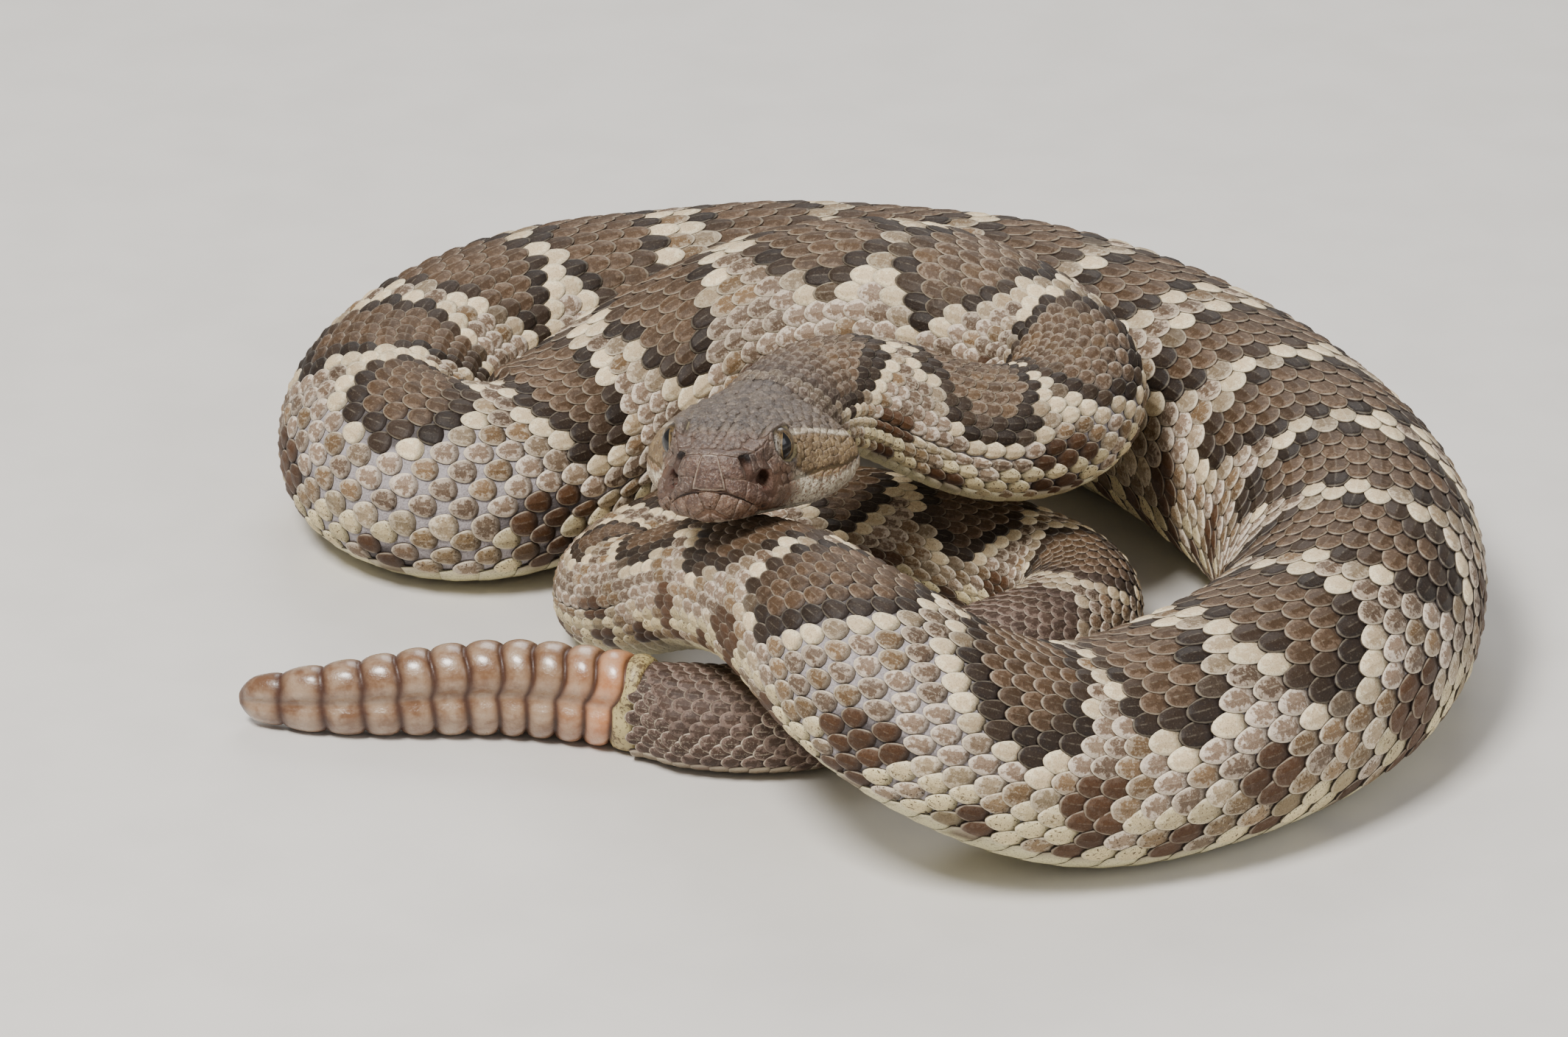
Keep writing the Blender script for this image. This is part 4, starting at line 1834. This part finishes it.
    def free_spots(self) -> tuple:
        """Spread places evenly over the rest of the head, with their scale sizes."""
        grid = self.skin.head_points
        along = np.linalg.norm(np.gradient(grid, axis=0), axis=2)
        around = np.linalg.norm(np.roll(grid, -1, axis=1) - grid, axis=2)
        size = self.size_at(grid.reshape(-1, 3)).reshape(grid.shape[:2])
        weight = (along * around / size ** 2).ravel()
        picked = self.rng.choice(weight.size, self.candidates, replace=False, p=weight / weight.sum())
        points = grid.reshape(-1, 3)[picked]
        covered = np.concatenate(self.covered)
        keep = np.array([np.min(np.sum((covered - point) ** 2, axis=1))
                         for point in points]) > self.clear_square
        back, across, height = points.T
        keep &= (back > 8.2) | (height > 2.7) | (height < mouth_height(back))
        for spot, radius in ((EYE_PLACE + np.array([0, 1.6, 0]), self.eye_clear),
                             (NOSTRIL.place, self.nostril_clear)):
            gaps = (back - spot[0], np.abs(across) - spot[1], height - spot[2])
            keep &= np.sqrt(spread(gaps, (1, 1, 1))) > radius
        points = points[keep]
        sizes = self.size_at(points)
        chosen, reach = [], []
        for point, wide in zip(points, sizes):
            if chosen:
                gap = np.linalg.norm(np.array(chosen) - point, axis=1)
                if np.any(gap < 0.45 * (wide + np.array(reach))):
                    continue
            chosen.append(point)
            reach.append(wide)
        chosen = np.array(chosen)
        for _ in range(self.settling_passes):
            gaps = np.linalg.norm(points[:, None, :] - chosen[None, :, :], axis=2)
            owner = np.argmin(gaps, axis=1)
            total = np.zeros_like(chosen)
            np.add.at(total, owner, points)
            share = np.bincount(owner, minlength=len(chosen))[:, None]
            chosen = np.where(share > 0, total / np.maximum(share, 1), chosen)
        return chosen, self.size_at(chosen)

    def size_at(self, local: Array) -> Array:
        """Spacing of the small scales at places on the head, in millimetres."""
        size = np.interp(local[:, 0], (0.0, 6.0, 16.0, 30.0, 36.0),
                         (self.smallest, 0.95, 1.15, self.largest, 1.95))
        under = fall(local[:, 2], -6.5, 1.5)
        cheek = ramp(local[:, 0], 11.0, 2.0) * fall(local[:, 2], 2.6, 1.0)
        return size * (1 + 0.35 * under - 0.24 * cheek * (1 - under))

    def small_scales(self) -> None:
        """Lay the many small scales of crown, cheeks and throat."""
        chosen, sizes = self.free_spots()
        for spot, size in zip(chosen, sizes):
            lean = self.rng.normal(0.0, 0.10)
            crown = float(ramp(spot[2], 0.5, 2.0))
            pale = 0.7 if spot[2] < -3 else 0.22
            beside = float(smooth_step(np.array((abs(spot[1]) - 7.0) / 2.0))) * (1 - crown)
            self.lay_scale(spot, np.array([1.0, lean, 0.0]), size * 1.80, size * 1.22,
                           (0.12 + 0.09 * size) * (1 - 0.45 * beside), 0.13 * crown, pale,
                           0.8 if spot[2] < -3.5 else 0.0)
        LOG.info("small head scales: %d", len(chosen))

    def dress(self) -> None:
        """Build the head's coat piece."""
        self.shields()
        self.labials()
        self.eye_rings()
        self.small_scales()
        add_piece(joined("head_plates", self.parts), PlateFinish("head_plates").build())


@dataclass
class Eyes:
    """Both eyeballs, each with a map that is centred on the pupil."""
    head: HeadSurface
    columns: int = 48
    rows: int = 32
    gaze_left: float = 0.66
    gaze_right: float = 0.95

    def ball(self, sign: int) -> Mesh:
        """One eyeball, its pole in the middle of the pupil."""
        forward = self.gaze_left if sign > 0 else self.gaze_right
        gaze = unit(np.array([-forward, sign * 0.83, 0.03]))
        up = unit(np.array([0.0, 0.0, 1.0]) - gaze * gaze[2])
        along = np.cross(up, gaze)
        tilt = np.linspace(0, math.pi, self.rows + 1)[1:-1]
        turn = np.linspace(0, 2 * math.pi, self.columns, endpoint=False)
        lean, spin = (g.ravel() for g in np.meshgrid(tilt, turn, indexing="ij"))
        flat = np.stack([np.cos(spin) * np.sin(lean), np.sin(spin) * np.sin(lean), np.cos(lean)], axis=1)
        flat = np.vstack([flat, [[0, 0, 1.0], [0, 0, -1.0]]])
        local = mirrored(EYE_PLACE, sign) + EYE_RADIUS * (flat[:, :1] * along + flat[:, 1:2] * up
                                      + flat[:, 2:] * gaze)
        loops, totals = closed_tube(numbered(self.rows - 1, self.columns))
        name = "eye_left_ball" if sign > 0 else "eye_right_ball"
        mesh = mesh_from(name, self.head.world(local), loops, totals)
        map_uv(mesh, "Lens", flat[:, :2] * 0.5 + 0.5)
        return mesh

    def dress(self) -> None:
        """Add both eyes in place of the frame's."""
        material = EyeFinish().build()
        for sign, node in ((1, "eye_left"), (-1, "eye_right")):
            add_piece(self.ball(sign), material, (node,))


@dataclass
class Rattle:
    """The rattle: a fleshy matrix and a string of horny rings, standing on edge."""
    route: Route
    pitches: tuple = (4.4, 4.5, 4.6, 4.4, 4.8, 4.9, 4.8, 5.0, 5.5, 6.2, 6.4)
    matrix_length: float = 4.7
    sides: int = 72
    height_ratio: float = 0.89
    thickness_ratio: float = 0.64
    groove_level: float = 0.05
    rings_each: int = 18
    lean: float = 0.0014
    slant: float = 0.0012
    # Newest ring, middle rings, oldest ring, matrix and seam
    tones: tuple = ((0.53, 0.215, 0.082), (0.250, 0.130, 0.058), (0.185, 0.090, 0.040),
                    (0.50, 0.41, 0.19), (0.052, 0.014, 0.004))

    def ring(self, place: float, scale: float, groove: float, lean: float, slant: float) -> Array:
        """Points of one section.

        Args:
            place: Arc length in metres.
            scale: Size over the route's own.
            groove: Depth of the side groove as a share of the half thickness.
            lean: How far both lobes reach toward the tail, in metres.
            slant: How far the lower edge stands nearer the tip than the middle, in metres.

        Returns:
            The section's points.
        """
        axis, along, up, side, _, width = (v[0] for v in self.route.frames(np.array([place])))
        half_height = self.height_ratio * width
        half_thickness = self.thickness_ratio * width
        middle = axis + up * (half_height - BELLY_RATIO * width)
        floor = axis[2] - BELLY_RATIO * width
        turn = np.linspace(0, 2 * math.pi, self.sides, endpoint=False)
        rise = np.cos(turn)
        level = rise - self.groove_level
        lobes = np.maximum(1 - (2 * np.abs(level) - 1) ** 2, 0.0)
        shift = -lean * lobes * np.where(level > 0, 1.0, 0.55) - slant * rise
        across = np.sign(np.sin(turn)) * np.abs(np.sin(turn)) ** 0.85
        across = across * (1 - groove * bell(level, 0.24))
        points = (middle + np.outer(across * half_thickness * scale, side)
                  + np.outer(rise * half_height * scale, up) + np.outer(shift, along))
        points[:, 2] = np.maximum(points[:, 2], floor)
        return points

    def build(self) -> Mesh:
        """Make the rattle's mesh with a tint for each ring."""
        newest, middle, oldest, matrix, seam = (np.array(tone) for tone in self.tones)
        stretch = (self.route.length / MM - 0.3) / (self.matrix_length + sum(self.pitches))
        sections = []
        for share in np.linspace(0, 1, 7)[:-1]:
            ring = self.ring(share * self.matrix_length * stretch * MM + 0.0002,
                             0.94 + 0.07 * math.sin(math.pi * share), 0.16,
                             self.lean * share, self.slant * share)
            sections.append((ring, matrix, (1.0, 0.0, 0.0)))
        start = self.matrix_length * stretch
        for k, pitch in enumerate(self.pitches):
            pitch *= stretch
            age = k / (len(self.pitches) - 1)
            tone = newest + (middle - newest) * min(1.0, k / 1.5)
            tone = tone + (oldest - tone) * age ** 1.5
            for share in np.linspace(0, 1, self.rings_each, endpoint=False):
                crest = 1 - abs(2 * share - 1) ** 2.2
                scale = 0.855 + 0.15 * crest ** 0.65
                if k == len(self.pitches) - 1 and share > 0.6:
                    scale *= math.sqrt(1 - ((share - 0.6) / 0.46) ** 2)
                slant = self.slant * max(0.0, 1 - (k + share) / 5)
                ring = self.ring((start + share * pitch) * MM, scale, 0.18 + 0.15 * crest,
                                 self.lean * (1 - 0.75 * age), slant)
                groove = math.exp(-(share / 0.13) ** 2) + math.exp(-((1 - share) / 0.17) ** 2)
                sections.append((ring, tone + (seam - tone) * min(0.96, groove), (0.0, crest, 0.0)))
            start += pitch
        sections.append((self.ring(start * MM, 0.40, 0.10, 0.0, 0.0), oldest, (0.0, 0.0, 0.0)))
        rings, tints, marks = (np.array(rows) for rows in zip(*sections))
        points = np.vstack([rings.reshape(-1, 3), rings[0].mean(axis=0), rings[-1].mean(axis=0)])
        mesh = mesh_from("rattle_rings", points, *closed_tube(numbered(len(rings), self.sides)))
        for layer, rows in (("Tint", tints), ("Marks", marks)):
            paint(mesh, layer, np.vstack([np.repeat(rows, self.sides, axis=0), rows[0], rows[-1]]))
        return mesh

    def dress(self) -> None:
        """Add the rattle in place of the frame's."""
        add_piece(self.build(), RattleFinish().build(), ("rattle",))


@dataclass(frozen=True)
class Studio:
    """Floor, lights and camera."""
    floor_half: float = 3.0
    camera_place: tuple = (-0.01177, -0.8936, 0.4325)
    camera_tilt: float = math.radians(65.0)
    camera_lens: float = 152.35
    sensor_width: float = 36.0
    air_colour: tuple = (1.0, 0.975, 0.94, 1.0)
    air_strength: float = 0.31
    # Name, place, size, power and colour
    lights: tuple = (
        ("key_light", (-0.35, -0.45, 0.95), 0.32, 17.5, (1.0, 0.97, 0.93)),
        ("fill_light", (0.75, -0.55, 0.55), 0.60, 3.0, (0.97, 0.98, 1.0)),
        ("back_light", (0.10, 0.85, 0.75), 0.60, 5.0, (1.0, 1.0, 1.0)),
    )

    def build_floor(self) -> None:
        """Lay a plain pale floor."""
        half = self.floor_half
        corners = np.array([(-half, -half, 0), (half, -half, 0), (half, half, 0), (-half, half, 0)], float)
        mesh = mesh_from("floor", corners, np.arange(4), np.array([4]))
        shader = Shader("pale_floor")
        grain = shader.noise(60.0, 3.0, 0.5)
        colour = shader.mix(grain.eased(0.35, 0.7) * 0.5, (0.70, 0.68, 0.65), (0.64, 0.62, 0.59))
        mesh.materials.append(shader.finish(colour, 0.75, grain, 0.0002))
        floor = put_in_scene("floor", mesh)

    def add_light(self, name: str, place: tuple, size: float, power: float, colour: tuple) -> None:
        """Add a square light that faces the model."""
        light = bpy.data.lights.new(name, "AREA")
        light.size = size
        light.energy = power
        light.color = colour
        lamp = put_in_scene(name, light)
        lamp.location = place
        aim = Vector((0.0, 0.0, 0.02)) - Vector(place)
        lamp.rotation_euler = aim.to_track_quat("-Z", "Y").to_euler()

    def build(self) -> None:
        """Set up the whole studio."""
        self.build_floor()
        for light in self.lights:
            self.add_light(*light)
        world = bpy.data.worlds.new("studio_air")
        world.use_nodes = True
        air = world.node_tree.nodes["Background"]
        air.inputs["Color"].default_value = self.air_colour
        air.inputs["Strength"].default_value = self.air_strength
        bpy.context.scene.world = world
        lens = bpy.data.cameras.new("camera")
        lens.lens = self.camera_lens
        lens.sensor_width = self.sensor_width
        lens.clip_start = 0.01
        camera = put_in_scene("camera", lens)
        camera.location = self.camera_place
        camera.rotation_euler = (self.camera_tilt, 0.0, 0.0)
        bpy.context.scene.camera = camera


def main() -> None:
    """Build the studio and every piece of the animal, in order."""
    logging.basicConfig(level=logging.INFO, format="%(name)s %(message)s")
    Studio().build()
    body = BodySurface(Route(BODY_ROUTE, ROUTE_PASSES), COAT_DEPTH)
    head = HeadSurface(body)
    markings = Markings()
    coat = Coat(body, markings)
    skin = Skin(head, body, coat, markings)
    skin.dress()
    coat.dress()
    HeadCoat(head, skin, markings).dress()
    Eyes(head).dress()
    Rattle(Route(RATTLE_ROUTE, ROUTE_PASSES // 3)).dress()


if __name__ == "__main__":
    main()
